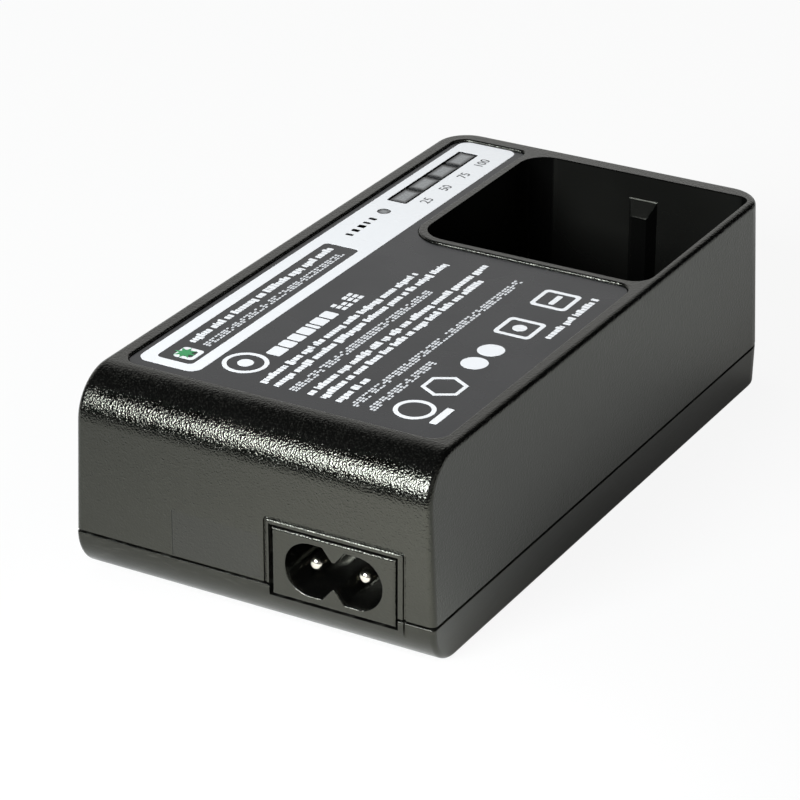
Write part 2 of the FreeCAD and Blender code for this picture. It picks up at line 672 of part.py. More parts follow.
def make_upper_housing():
    body = new_body("UpperHousing")
    shell_blank(body, upper_rim, dim.body_height, dim.body_width, top_width, dim.front_arc, False)
    hollow(body, "UpperShell", level_face(upper_rim))
    side = top_width / 2
    fillet(
        body,
        "UpperEdges",
        lambda edge: along(edge, x=side, z=dim.body_height) and edge.Length > dim.rear_corner.number,
        dim.edge_round,
    )

    # The tub of the well hangs from the roof and shares the case's right and rear walls.
    tub = sketch(body, "Tub", "XY_Plane", well_under)
    skin = dim.wall / 2
    outline(tub, [
        (rim_left, rim_front, dim.well_front_left_round + dim.well_wall),
        (well_right + skin, rim_front, None),
        (well_right + skin, well_rear + skin, dim.well_rear_right_round + skin),
        (rim_left, well_rear + skin, None),
    ])
    pad(body, tub, roof_under + skin - well_under)
    # A rebate inside the rim takes the tongue of the lower shell, and passes outside the tub's foot.
    rebate = sketch(body, "Rebate", "XY_Plane", lower_rim)
    plan(rebate, dim.wall - dim.tongue_wall - dim.tongue_gap)
    plan(rebate, dim.wall + dim.tongue_lap + dim.tongue_gap)
    pocket(body, rebate, dim.tongue_height + dim.tongue_gap, reverse=True)
    well = sketch(body, "Well", "XY_Plane", dim.body_height)
    outline(well, [
        (well_left, well_front, dim.well_front_left_round),
        (well_right, well_front, dim.well_front_right_round),
        (well_right, well_rear, dim.well_rear_right_round),
        (well_left, well_rear, dim.well_rear_left_round),
    ])
    pocket(body, well, dim.body_height - dim.well_floor)

    # The guide rib is keystone-shaped in plan, and its top slopes to lead the pack in.
    rib = sketch(body, "Rib", "XY_Plane", dim.well_floor)
    rib_x = well_x + dim.rib_offset
    root = well_rear + skin
    face = well_rear - dim.rib_depth
    path(rib, [
        (rib_x - dim.rib_face / 2, face),
        (rib_x + dim.rib_face / 2, face),
        (rib_x + dim.rib_base / 2, well_rear),
        (rib_x + dim.rib_base / 2, root),
        (rib_x - dim.rib_base / 2, root),
        (rib_x - dim.rib_base / 2, well_rear),
    ])
    rib_top = dim.body_height - dim.rib_drop
    pad(body, rib, rib_top - dim.well_floor)
    slope = sketch(body, "RibSlope", "YZ_Plane", rib_x - dim.rib_base / 2)
    path(slope, [(well_rear, rib_top), (face, rib_top), (face, rib_top - dim.rib_slope)])
    pocket(body, slope, dim.rib_base, reverse=True)
    lip_z = rib_top - dim.rib_slope
    fillet(body, "RibLip", lambda edge: along(edge, y=face, z=lip_z), dim.rib_lip)

    slots = sketch(body, "BladeSlots", "XY_Plane", dim.well_floor)
    half = dim.blade_thickness / 2 + dim.blade_slot_gap
    reach = dim.blade_length / 2 + dim.blade_slot_gap
    for x in BLADES:
        rectangle(slots, x - half, x + half, contact_y - reach, contact_y + reach)
    pocket(body, slots, dim.well_floor_wall)

    # The film lies in a shallow recess that runs round two sides of the well's rim.
    recess = sketch(body, "FilmRecess", "XY_Plane", dim.body_height)
    film_outline(recess, as_size(0))
    pocket(body, recess, dim.film_recess)
    fillet(body, "RecessLip", lambda edge: along(edge, y=rim_front, z=dim.body_height), dim.recess_lip)
    ports = sketch(body, "LensPorts", "XY_Plane", recess_floor)
    half = dim.lens_width / 2 + dim.lens_gap
    reach = dim.lens_length / 2 + dim.lens_gap
    for y in LENSES:
        rectangle(ports, lamp_x - half, lamp_x + half, y - reach, y + reach)
    circle(ports, power_x, power_y, dim.power_diameter + dim.lens_gap * 2)
    pocket(body, ports, recess_floor - roof_under)

    # Pegs under the roof carry the indicator board, and their tips are staked over it.
    pegs = sketch(body, "Pegs", "XY_Plane", indicator_top)
    circles(pegs, PEGS, dim.peg_diameter)
    pad(body, pegs, roof_under - indicator_top + skin / 2)
    stakes = sketch(body, "Stakes", "XY_Plane", indicator_under - dim.stake_past)
    circles(stakes, PEGS, dim.stake_diameter)
    pad(body, stakes, dim.board_thickness + dim.stake_past + skin)

    # Screw bosses come down to the posts of the lower shell.
    boss_tops = {
        ("FrontLeft", "FrontRight"): roof_under + skin / 2,
        ("RearLeft",): dim.post_height + dim.boss_rear_left_height,
        ("RearRight",): well_under + dim.well_floor_wall / 2,
    }
    for names, top in boss_tops.items():
        bosses = sketch(body, f"Boss{names[0]}", "XY_Plane", dim.post_height)
        circles(bosses, {name: POSTS[name] for name in names}, dim.boss_diameter)
        pad(body, bosses, top - dim.post_height)
    pilots = sketch(body, "Pilots", "XY_Plane", dim.post_height)
    circles(pilots, POSTS, dim.screw_diameter)
    pocket(body, pilots, head_seat + dim.screw_length + dim.pilot_past - dim.post_height, reverse=True)

    # The inlet's face shows through the front wall, inside a fine groove.
    opening = sketch(body, "InletOpening", "XZ_Plane", half_length)
    reach = dim.plate_width / 2 + dim.plate_gap
    rectangle(opening, inlet_x - reach, inlet_x + reach, plate_low, plate_top + dim.plate_gap)
    pocket(body, opening, dim.wall * 2)
    groove = sketch(body, "InletGroove", "XZ_Plane", half_length)
    groove_outline(groove, True)
    pocket(body, groove, dim.groove_depth)
    fillet(body, "GrooveLips", on_groove, dim.groove_lip)
    return node(body, "upper_housing")


def film_outline(made, inset):
    """The film's recess, or the film itself, which is smaller by inset all round."""
    left = film_left + inset
    right = top_width / 2 - dim.film_right_edge - inset
    front = dim.film_front_edge - half_length + inset
    strip = rim_left - inset
    rear = film_rear - inset
    back = rim_front - inset
    outer = dim.film_round - inset
    outline(made, [
        (left, front, outer),
        (right, front, outer),
        (right, back, outer),
        (strip, back, dim.rim_round + inset),
        (strip, rear, dim.film_inner_round - inset),
        (left, rear, outer),
    ])


def groove_outline(made, both):
    """The groove round the inlet in the upper shell, or the foot of its right leg in the lower shell."""
    inner_right = groove_right - dim.groove_width
    if not both:
        rectangle(made, inner_right, groove_right, dim.groove_foot, upper_rim)
        return
    inner_left = groove_left + dim.groove_width
    inner_top = groove_top - dim.groove_width
    inner_round = dim.groove_round - dim.groove_width
    outline(made, [
        (groove_left, lower_rim, None),
        (inner_left, lower_rim, None),
        (inner_left, inner_top, inner_round),
        (inner_right, inner_top, inner_round),
        (inner_right, lower_rim, None),
        (groove_right, lower_rim, None),
        (groove_right, groove_top, dim.groove_round),
        (groove_left, groove_top, dim.groove_round),
    ])


def on_groove(edge):
    """Whether an edge on the front face is one of the groove's two lips."""
    bounds = edge.BoundBox
    step = dim.groove_width.number / 2
    opening = (dim.plate_width / 2 + dim.plate_gap).number + step
    beside = abs(edge.CenterOfMass.x - inlet_x.number) > opening
    above = edge.CenterOfMass.z > (plate_top + dim.plate_gap).number + step
    inside = bounds.XMin > groove_left.number - step and bounds.XMax < groove_right.number + step
    level = bounds.ZLength < step and bounds.ZMin < upper_rim.number + step
    under = bounds.ZMax < groove_top.number + step
    return along(edge, y=-half_length) and inside and under and not level and (beside or above)


def make_lower_housing():
    body = new_body("LowerHousing")
    shell_blank(body, as_size(0), lower_rim, base_width, dim.body_width, dim.base_arc, True)
    hollow(body, "LowerShell", level_face(lower_rim))
    side = base_width / 2
    fillet(
        body,
        "LowerEdges",
        lambda edge: along(edge, x=side, z=as_size(0)) and edge.Length > dim.rear_corner.number,
        dim.base_round,
    )
    fillet(
        body,
        "RimLip",
        lambda edge: along(edge, y=-half_length, z=lower_rim) and edge.Length > dim.plate_width.number,
        dim.rim_lip,
    )
    # The tongue stands on the inner half of the wall and keeps light out of the seam.
    root = dim.wall / 2
    tongue = sketch(body, "Tongue", "XY_Plane", lower_rim - root)
    plan(tongue, dim.wall - dim.tongue_wall)
    plan(tongue, dim.wall + dim.tongue_lap)
    pad(body, tongue, dim.tongue_height + root)

    # Each post has a shoulder for the board and is bored and sunk for its screw.
    feet = sketch(body, "PostFeet", "XY_Plane", dim.wall / 2)
    circles(feet, POSTS, dim.post_foot)
    pad(body, feet, dim.board_under - dim.wall / 2)
    heads = sketch(body, "PostHeads", "XY_Plane", dim.wall)
    circles(heads, POSTS, dim.post_head)
    pad(body, heads, dim.post_height - dim.wall)
    bores = sketch(body, "ScrewBores", "XY_Plane", dim.post_height)
    circles(bores, POSTS, dim.screw_diameter + dim.screw_gap * 2)
    pocket(body, bores, dim.post_height)
    sinks = sketch(body, "ScrewSinks", "XY_Plane")
    circles(sinks, POSTS, dim.screw_head + dim.screw_gap * 2)
    pocket(body, sinks, head_seat, reverse=True)

    opening = sketch(body, "InletNotch", "XZ_Plane", half_length)
    reach = dim.plate_width / 2 + dim.plate_gap
    above = dim.seam_height + dim.tongue_height * 2
    rectangle(opening, inlet_x - reach, inlet_x + reach, plate_low - dim.plate_foot, above)
    pocket(body, opening, dim.wall * 2)
    groove = sketch(body, "GrooveFoot", "XZ_Plane", half_length)
    groove_outline(groove, False)
    pocket(body, groove, dim.groove_depth)
    return node(body, "lower_housing")


def make_film():
    body = new_body("GraphicOverlay")
    shape = sketch(body, "FilmShape", "XY_Plane", recess_floor)
    film_outline(shape, dim.film_gap)
    half = dim.lens_width / 2 + dim.window_margin
    reach = dim.lens_length / 2 + dim.window_margin
    front, rear = LENSES[0] - reach, LENSES[-1] + reach
    rectangle(shape, lamp_x - half, lamp_x + half, front, rear, dim.window_margin)
    circle(shape, power_x, power_y, dim.power_diameter + dim.lens_gap * 2)
    pad(body, shape, dim.film_thickness)
    return node(body, "graphic_overlay")


def make_light_guides():
    body = new_body("ChargeLightGuide")
    plate = sketch(body, "GuidePlate", "XY_Plane", guide_under)
    half = dim.lens_width / 2 + dim.guide_margin
    reach = dim.lens_length / 2 + dim.guide_margin
    rectangle(plate, lamp_x - half, lamp_x + half, LENSES[0] - reach, LENSES[-1] + reach)
    pad(body, plate, dim.guide_plate)
    lenses = sketch(body, "GuideLenses", "XY_Plane", guide_under)
    half, reach = dim.lens_width / 2, dim.lens_length / 2
    for y in LENSES:
        rectangle(lenses, lamp_x - half, lamp_x + half, y - reach, y + reach)
    pad(body, lenses, recess_floor + dim.lens_proud - guide_under)
    node(body, "charge_light_guide")

    pipe = new_body("PowerLightPipe")
    flange = sketch(pipe, "PipeFlange", "XY_Plane", guide_under)
    circle(flange, power_x, power_y, dim.power_flange)
    pad(pipe, flange, dim.guide_plate)
    lens = sketch(pipe, "PipeLens", "XY_Plane", guide_under)
    circle(lens, power_x, power_y, dim.power_diameter)
    pad(pipe, lens, recess_floor + dim.lens_proud - guide_under)
    node(pipe, "power_light_pipe")


def mouth_outline(made, x, z):
    """The figure-8 mouth: a long round slot with a notch that points in from above and from below."""
    end = dim.mouth_height / 2
    centre = dim.mouth_width / 2 - end
    base = dim.notch_base / 2
    tip = dim.notch_tip
    # The round tip of a notch turns into its straight sides at this share of the radius across and up.
    across, up = 0.8, 0.6
    reach = tip * across
    lift = tip * up
    bead = dim.waist / 2 + tip
    points = [
        (x + centre, z - end),
        (x + centre, z + end),
        (x + base, z + end),
        (x + reach, z + bead - lift),
        (x - reach, z + bead - lift),
        (x - base, z + end),
        (x - centre, z + end),
        (x - centre, z - end),
        (x - base, z - end),
        (x - reach, z - bead + lift),
        (x + reach, z - bead + lift),
        (x + base, z - end),
    ]
    arcs = {
        0: ((x + centre, z), end, True),
        3: ((x, z + bead), tip, False),
        6: ((x - centre, z), end, True),
        9: ((x, z - bead), tip, False),
    }
    path(made, points, arcs)


def on_mouth(edge):
    """Whether an edge on the inlet's face runs round its mouth, and not round the face itself."""
    away = edge.CenterOfMass - FreeCAD.Vector(inlet_x.number, -inlet_face.number, dim.inlet_z.number)
    near = dim.plate_round.number
    across = abs(away.x) < dim.mouth_width.number / 2 + near
    upward = abs(away.z) < dim.mouth_height.number / 2 + near
    return along(edge, y=-inlet_face) and across and upward


def make_inlet():
    body = new_body("InletSocket")
    plate = sketch(body, "InletPlate", "XZ_Plane", inlet_face)
    half = dim.plate_width / 2
    rectangle(plate, inlet_x - half, inlet_x + half, plate_low, plate_top)
    pad(body, plate, plate_thickness, reverse=True)
    fillet(body, "PlateEdges", lambda edge: along(edge, y=-inlet_face), dim.plate_round)
    flange = sketch(body, "InletFlange", "XZ_Plane", inlet_face - plate_thickness + dim.fit_gap)
    half = dim.plate_width / 2 + dim.flange_edge
    rectangle(flange, inlet_x - half, inlet_x + half, board_top, plate_top + dim.flange_edge)
    pad(body, flange, dim.flange_thickness + dim.fit_gap, reverse=True)
    rear = sketch(body, "InletRear", "XZ_Plane", inlet_face - plate_thickness)
    half = dim.socket_width / 2
    rectangle(rear, inlet_x - half, inlet_x + half, board_top, plate_top)
    pad(body, rear, dim.socket_depth - plate_thickness, reverse=True)
    mouth = sketch(body, "InletMouth", "XZ_Plane", inlet_face)
    mouth_outline(mouth, inlet_x, dim.inlet_z)
    pocket(body, mouth, dim.mouth_depth)
    fillet(body, "MouthLip", on_mouth, dim.mouth_lip)
    holes = sketch(body, "PinHoles", "XZ_Plane", inlet_face - dim.mouth_depth)
    for x in PINS:
        circle(holes, x, dim.inlet_z, dim.pin_root + dim.fit_gap * 2)
    pocket(body, holes, dim.socket_depth - dim.mouth_depth)
    node(body, "inlet_socket")

    # Each pin has a domed tip, a thicker root in the body and a tail that is soldered into the board.
    pins = []
    tip = -half_length + dim.pin_setback
    seat = dim.mouth_depth - inlet_face
    drop = dim.board_under - dim.tail_under
    for i, x in enumerate(PINS):
        rod = cylinder(f"PinRod{i}", x, tip, dim.inlet_z, dim.pin_diameter, seat - tip, REARWARD)
        nose = rounded(
            f"PinNose{i}",
            rod,
            lambda edge: along(edge, y=tip) and len(edge.Vertexes) == 1,
            dim.pin_round,
        )
        tail = cylinder(f"PinTail{i}", x, tail_y, drop, dim.tail_diameter, dim.inlet_z - drop)
        root = cylinder(f"PinRoot{i}", x, seat, dim.inlet_z, dim.pin_root, pin_back - seat, REARWARD)
        pins.append(fuse(f"InletPin{i}", [nose, root, tail]))
    node(group("InletPins", pins), "inlet_pins")


def make_boards():
    body = new_body("MainBoard")
    shape = sketch(body, "BoardShape", "XY_Plane", dim.board_under)
    inset = dim.wall + dim.board_edge
    side = lower_side - dim.board_edge
    rear = dim.rear_corner - inset
    end = half_length - inset
    front = dim.board_front_edge - half_length
    corner = dim.wall
    outline(shape, [
        (-side, front, corner),
        (side, front, corner),
        (side, end, rear),
        (-side, end, rear),
    ])
    circles(shape, POSTS, dim.post_head + dim.board_hole_gap * 2)
    for x in PINS:
        circle(shape, x, tail_y, dim.tail_diameter + dim.fit_gap * 2)
    pad(body, shape, dim.board_thickness)
    node(body, "main_board")

    liner = new_body("InsulationSheet")
    shape = sketch(liner, "SheetShape", "XY_Plane", dim.wall)
    side = lower_side - dim.sheet_edge
    front = dim.sheet_front_edge - half_length
    end = half_length - dim.wall - dim.sheet_edge
    rectangle(shape, -side, side, front, end, dim.wall)
    pad(liner, shape, dim.sheet_thickness)
    holes = sketch(liner, "SheetHoles", "XY_Plane", dim.wall + dim.sheet_thickness)
    circles(holes, POSTS, dim.post_foot + dim.sheet_gap * 2)
    pocket(liner, holes, dim.sheet_thickness)
    node(liner, "insulation_sheet")

    small = new_body("IndicatorBoard")
    shape = sketch(small, "IndicatorShape", "XY_Plane", indicator_under)
    rectangle(shape, indicator_left, indicator_right, indicator_front, indicator_rear)
    circles(shape, PEGS, dim.stake_diameter + dim.fit_gap * 2)
    pad(small, shape, dim.board_thickness)
    node(small, "indicator_board")

    lamp = (dim.lamp_width, dim.lamp_length, dim.lamp_height)
    lamps = [block(f"Lamp{i}", lamp_x, y, indicator_top, *lamp) for i, y in enumerate(LENSES)]
    node(group("ChargeLamps", lamps), "charge_lamps")
    node(block("PowerLamp", power_x, power_y, indicator_top, *lamp), "power_lamp")
    ribbon = (dim.ribbon_thickness, dim.ribbon_width, indicator_under - board_top)
    left = indicator_left + dim.ribbon_edge
    front = indicator_front + dim.ribbon_front
    node(box("SignalRibbon", left, front, board_top, *ribbon), "signal_ribbon")


def make_contacts():
    body = new_body("ContactBlock")
    shape = sketch(body, "ContactShape", "XY_Plane", board_top)
    half, reach = dim.contact_length / 2, dim.contact_depth / 2
    rectangle(shape, well_x - half, well_x + half, contact_y - reach, contact_y + reach)
    half, reach = dim.blade_thickness / 2 + dim.fit_gap, dim.blade_length / 2 + dim.fit_gap
    for x in BLADES:
        rectangle(shape, x - half, x + half, contact_y - reach, contact_y + reach)
    pad(body, shape, well_under - dim.contact_air - board_top)
    node(body, "contact_block")
    blades = []
    for i, x in enumerate(BLADES):
        blade = new_body(f"Blade{i}")
        shape = sketch(blade, f"BladeShape{i}", "YZ_Plane", x - dim.blade_thickness / 2)
        half = dim.blade_length / 2
        tip = dim.well_floor + dim.blade_height
        bevel = dim.blade_thickness
        outer = (contact_y - half, contact_y + half)
        path(shape, [
            (outer[0], board_top),
            (outer[1], board_top),
            (outer[1], tip - bevel),
            (outer[1] - bevel, tip),
            (outer[0] + bevel, tip),
            (outer[0], tip - bevel),
        ])
        pad(blade, shape, dim.blade_thickness)
        blades.append(blade)
    node(group("ContactBlades", blades), "contact_blades")


def make_screws():
    screws = []
    length = dim.screw_head_height + dim.screw_length
    for name, (x, y) in POSTS.items():
        head = cylinder(f"Head{name}", x, y, dim.screw_sink, dim.screw_head, dim.screw_head_height)
        shank = cylinder(f"Shank{name}", x, y, dim.screw_sink, dim.screw_diameter, length)
        screws.append(fuse(f"Screw{name}", [head, shank]))
    node(group("HousingScrews", screws), "housing_screws")


def ring(name, x, y, z, outer, inner, height, sweep=None):
    outside = cylinder(f"{name}Outside", x, y, z, outer, height, sweep=sweep)
    inside = cylinder(f"{name}Inside", x, y, z, inner, height)
    return cut(name, outside, inside)


def wound_ring(name, x, y, outer, inner, height, wire, sweep, starts):
    """A ring core that lies on the board, and the sectors of winding that wrap round it."""
    core = ring(f"{name}Core", x, y, board_top + wire, outer, inner, height)
    full = height + wire * 2
    coils = []
    for i, start in enumerate(starts):
        turn = FreeCAD.Rotation(FreeCAD.Vector(0, 0, 1), start.number)
        wrap = cylinder(f"{name}Wrap{i}", x, y, board_top, outer + wire * 2, full, turn, sweep)
        eye = cylinder(f"{name}Eye{i}", x, y, board_top, inner - wire * 2, full)
        sleeve = ring(f"{name}Sleeve{i}", x, y, board_top + wire, outer, inner, height)
        coils.append(cut(f"{name}Coil{i}", cut(f"{name}Hollow{i}", wrap, eye), sleeve))
    return core, coils


def electrolytic(name, x, y, diameter, height):
    """A capacitor can with a rounded top and a bead rolled in near its foot."""
    can = cylinder(f"{name}Can", x, y, board_top, diameter, height)
    soft = rounded(f"{name}Soft", can, is_raised, dim.can_round)
    bead = doc.addObject("Part::Torus", f"{name}Bead")
    bead.setExpression("Radius1", (diameter / 2).text)
    bead.setExpression("Radius2", dim.can_bead.text)
    bead.setExpression("Placement.Base.x", as_size(x).text)
    bead.setExpression("Placement.Base.y", as_size(y).text)
    bead.setExpression("Placement.Base.z", (board_top + dim.can_bead_height).text)
    return cut(name, soft, bead)


def heat_sink(name, x, y, outward):
    """An extruded comb: a plate with fins on its outer side, standing on the board."""
    body = new_body(name)
    comb = sketch(body, f"{name}Comb", "XY_Plane", board_top)
    plate = x + dim.sink_base * outward
    tips = plate + dim.sink_fin * outward
    count = int(dim.sink_fins.number)
    last = y + dim.sink_fin_pitch * (count - 1) + dim.sink_fin_thickness
    points = [(x, last), (x, y)]
    for i in range(count):
        near = y + dim.sink_fin_pitch * i
        far = near + dim.sink_fin_thickness
        if i:
            points.append((plate, near))
        points += [(tips, near), (tips, far)]
        if i < count - 1:
            points.append((plate, far))
    path(comb, points)
    pad(body, comb, dim.sink_height)
    return body


def power_package(name, x, y, inward):
    """A three-legged power part with its tab flat against a heat sink whose face is at x."""
    def slab(part, thickness, width, low, height, middle=y):
        start = x if inward > 0 else x - thickness
        return box(f"{name}{part}", start, middle - width / 2, low, thickness, width, height)

    low = board_top + dim.package_leg
    mould = slab("Mould", dim.package_depth, dim.package_width, low, dim.package_height)
    tab_height = dim.package_height + dim.package_tab
    tab = slab("Tab", dim.package_tab_thickness, dim.package_width, low, tab_height)
    items = [mould, tab]
    leg_width = dim.package_leg_width
    leg_height = dim.package_leg + leg_width
    reach = dim.package_tab_thickness * 2
    for i in (-1, 0, 1):
        middle = y + dim.package_leg_pitch * i
        items.append(slab(f"Leg{i + 1}", reach, leg_width, board_top, leg_height, middle))
    hole_z = low + dim.package_height + dim.package_tab / 2
    hole = cylinder(f"{name}Hole", x - reach, y, hole_z, dim.package_tab_hole, reach * 2, RIGHTWARD)
    return cut(name, fuse(f"{name}Solid", items), hole)


def legged_chip(name, x, y, length, width, height, legs):
    """A moulded chip that stands on two rows of legs."""
    mould = block(f"{name}Mould", x, y, board_top + dim.chip_stand, length, width, height)
    items = [mould]
    span = width + dim.chip_reach * 2
    leg_height = dim.chip_stand + dim.chip_leg
    for i in range(legs):
        middle = x + length * ((i + 0.5) / legs - 0.5)
        items.append(block(f"{name}Leg{i}", middle, y, board_top, dim.chip_leg, span, leg_height))
    return fuse(name, items)


def make_transformer():
    x, y = dim.core_x, core_y
    low = board_top + dim.bobbin_rail
    frame = block("CoreFrame", x, y, low, core_length, core_depth, dim.core_leg)
    offset = (dim.core_leg + dim.core_window) / 2
    window = (dim.core_window_length, dim.core_window, dim.core_leg)
    windows = [block(f"CoreWindow{i}", x, y + offset * (2 * i - 1), low, *window) for i in range(2)]
    node(cut("TransformerCore", frame, fuse("CoreWindows", windows)), "transformer_core")

    # The tube of the bobbin lies along the middle leg, with a flange and a pin rail at each end.
    hole = dim.core_leg + dim.bobbin_gap * 2
    tube = hole + dim.bobbin_wall * 2
    middle = low + dim.core_leg / 2
    span = dim.core_window_length - dim.bobbin_gap * 2
    flange = dim.core_leg + dim.core_window * 2 - dim.bobbin_gap * 2
    items = [block("BobbinTube", x, y, middle - tube / 2, span, tube, tube)]
    wall, tall = dim.bobbin_wall, dim.bobbin_height
    for i, side in enumerate((-1, 1)):
        end = x + (span - wall) / 2 * side
        items.append(block(f"BobbinFlange{i}", end, y, middle - tall / 2, wall, flange, tall))
        rail = x + (span + dim.core_back - wall) / 2 * side
        width = dim.core_back + wall
        items.append(block(f"BobbinRail{i}", rail, y, board_top, width, flange, dim.bobbin_rail))
    passage = block("BobbinHole", x, y, middle - hole / 2, core_length, hole, hole)
    node(cut("TransformerBobbin", fuse("BobbinSolid", items), passage), "transformer_bobbin")
    wound = flange - dim.coil_inset * 2
    height = tall - dim.coil_inset * 2
    turns = span - wall * 2
    coil = block("CoilSolid", x, y, middle - height / 2, turns, wound, height)
    inside = block("CoilHole", x, y, middle - tube / 2, turns, tube, tube)
    node(cut("TransformerCoil", coil, inside), "transformer_coil")


def make_line_side():
    size = (dim.line_cap_length, dim.line_cap_depth, dim.line_cap_height)
    x = inlet_x - dim.plate_width / 2 - dim.flange_edge - dim.line_cap_gap - dim.line_cap_length / 2
    film = block("LineCapBlock", x, dim.line_cap_back - half_length, board_top, *size)
    node(rounded("LineCapacitor", film, is_upright, dim.line_cap_round), "line_capacitor")
    size = (dim.fuse_diameter, dim.fuse_height)
    can = cylinder("FuseCan", dim.fuse_x, dim.fuse_back - half_length, board_top, *size)
    node(rounded("MicroFuse", can, is_raised, dim.fuse_round), "micro_fuse")
    core, coils = wound_ring(
        "Choke",
        dim.choke_x,
        dim.choke_back - half_length,
        dim.choke_outer,
        dim.choke_inner,
        dim.choke_height,
        dim.choke_wire,
        dim.choke_sweep_angle,
        (dim.choke_start_angle, dim.choke_start_angle + 180),
    )
    node(core, "choke_core")
    node(group("ChokeWindings", coils), "choke_windings")

    bridge = new_body("BridgeRectifier")
    front = half_length - dim.bridge_back + dim.bridge_depth / 2
    shape = sketch(bridge, "BridgeShape", "XZ_Plane", front)
    right = sink_face - dim.package_depth - dim.bridge_gap
    left = right - dim.bridge_length
    top = board_top + dim.bridge_height
    path(shape, [
        (left, board_top),
        (right, board_top),
        (right, top),
        (left + dim.bridge_bevel, top),
        (left, top - dim.bridge_bevel),
    ])
    pad(bridge, shape, dim.bridge_depth, reverse=True)
    node(bridge, "bridge_rectifier")
    x = dim.bulk_edge + dim.bulk_diameter / 2 - inner_side
    height = roof_under - board_top - dim.bulk_air
    can = electrolytic("InputCapacitor", x, dim.bulk_back - half_length, dim.bulk_diameter, height)
    node(can, "input_capacitor")
    node(heat_sink("SwitchHeatSink", sink_face, switch_sink_y, 1), "switch_heat_sink")
    package = power_package("SwitchTransistor", sink_face, switch_sink_y + dim.switch_in, -1)
    node(package, "switch_transistor")

    lift = board_top + dim.safety_diameter / 2
    front = dim.safety_back - half_length - dim.safety_thickness / 2
    size = (dim.safety_diameter, dim.safety_thickness)
    disc = cylinder("SafetyDisc", dim.safety_x, front, lift, *size, REARWARD)
    disc = rounded("SafetyCapacitor", disc, lambda edge: len(edge.Vertexes) == 1, dim.safety_round)
    node(disc, "safety_capacitor")


def make_output_side():
    size = (dim.opto_length, dim.opto_width, dim.opto_height)
    x = dim.core_x + core_length / 2 + dim.opto_gap
    node(legged_chip("Optocoupler", x, core_y - dim.opto_offset, *size, legs=2), "optocoupler")
    node(heat_sink("OutputHeatSink", -sink_face, output_sink_y, -1), "output_heat_sink")
    package = power_package("OutputRectifier", -sink_face, output_sink_y + dim.output_in, 1)
    node(package, "output_rectifier")
    cans = []
    x = (rim_left - inner_side) / 2
    size = (dim.output_cap_diameter, dim.output_cap_height)
    for i in range(2):
        y = rim_front - dim.output_cap_gap + dim.output_cap_pitch * i
        cans.append(electrolytic(f"OutputCan{i}", x, y, *size))
    node(group("OutputCapacitors", cans), "output_capacitors")
    core, coils = wound_ring(
        "Inductor",
        inner_side - dim.coil_edge - dim.coil_outer / 2 - dim.coil_wire,
        rim_front - dim.coil_gap,
        dim.coil_outer,
        dim.coil_inner,
        dim.coil_height,
        dim.coil_wire,
        dim.coil_sweep_angle,
        (dim.coil_start_angle,),
    )
    node(core, "inductor_core")
    node(coils[0], "inductor_winding")
    size = (dim.chip_length, dim.chip_width, dim.chip_height)
    chip = legged_chip("ControllerChip", dim.chip_x, rim_front + dim.chip_in, *size, legs=4)
    node(chip, "controller_chip")


make_upper_housing()
make_lower_housing()
make_film()
make_light_guides()
make_inlet()
make_boards()
make_contacts()
make_screws()
make_transformer()
make_line_side()
make_output_side()
doc.recompute()

for item in doc.Objects:
    if any(word in item.State for word in ("Invalid", "Error")):
        raise RuntimeError(f"{item.Name} failed: {item.State}")
for item in nodes:
    if item.Shape.isNull() or not item.Shape.isValid() or not item.Shape.Solids:
        raise RuntimeError(f"{item.Label} has no valid solid")

os.makedirs("parts", exist_ok=True)
for item in nodes:
    item.Shape.exportStep(f"parts/{item.Label}.step")
    print(f"{item.Label}: {len(item.Shape.Solids)} solid(s), {item.Shape.Volume:.1f} mm3")
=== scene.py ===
# %% [markdown]
# # A desk-top battery charger
# The real charger is a black moulded case with a square battery well, a printed film with charge lamps
# on its top and a two-pin mains inlet in its front. Its solids arrive from the frame, at their true size.
# This lesson gives each surface its finish, lays the print on the film, and makes the screws with their
# threads and cross recesses. Lengths on the charger are millimetres until they go into a mesh or a node,
# and the studio round it is in metres.

# %% Load the frame
import json
import math

import bpy
import numpy as np
from mathutils import Matrix, Vector


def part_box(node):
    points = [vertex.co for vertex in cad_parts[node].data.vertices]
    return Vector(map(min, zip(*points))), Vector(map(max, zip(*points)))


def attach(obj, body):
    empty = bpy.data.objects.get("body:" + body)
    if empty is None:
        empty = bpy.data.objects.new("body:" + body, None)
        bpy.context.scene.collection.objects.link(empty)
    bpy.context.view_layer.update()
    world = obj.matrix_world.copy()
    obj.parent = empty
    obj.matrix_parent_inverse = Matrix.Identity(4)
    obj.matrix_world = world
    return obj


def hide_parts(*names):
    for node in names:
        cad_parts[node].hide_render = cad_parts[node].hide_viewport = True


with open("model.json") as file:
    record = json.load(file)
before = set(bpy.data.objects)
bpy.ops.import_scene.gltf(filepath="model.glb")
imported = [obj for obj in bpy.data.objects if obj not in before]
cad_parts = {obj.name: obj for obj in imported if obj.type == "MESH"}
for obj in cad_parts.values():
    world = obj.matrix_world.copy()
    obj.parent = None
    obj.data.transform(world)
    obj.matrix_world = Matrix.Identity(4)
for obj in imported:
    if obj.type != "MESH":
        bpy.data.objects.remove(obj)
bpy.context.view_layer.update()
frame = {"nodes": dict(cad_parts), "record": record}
MM = 0.001

# %% [markdown]
# ## The camera
# A product photographer stands well back with a long lens, so that the long sides of the case stay nearly
# parallel. The angles, the distance and the lens were solved from the edges of the case in the picture.
# They are written as plain numbers here, and a matrix with the right, up and back axes as columns turns
# the camera.

# %% Camera
AZIMUTH, ELEVATION, ROLL = (math.radians(angle) for angle in (29.56, 25.80, 0.09))
CAMERA_PLACE = Vector((238.02, -433.66, 251.72)) * MM
SENSOR_WIDTH, FOCAL_LENGTH = 36.0, 149.24
NEAREST_SEEN = 0.01

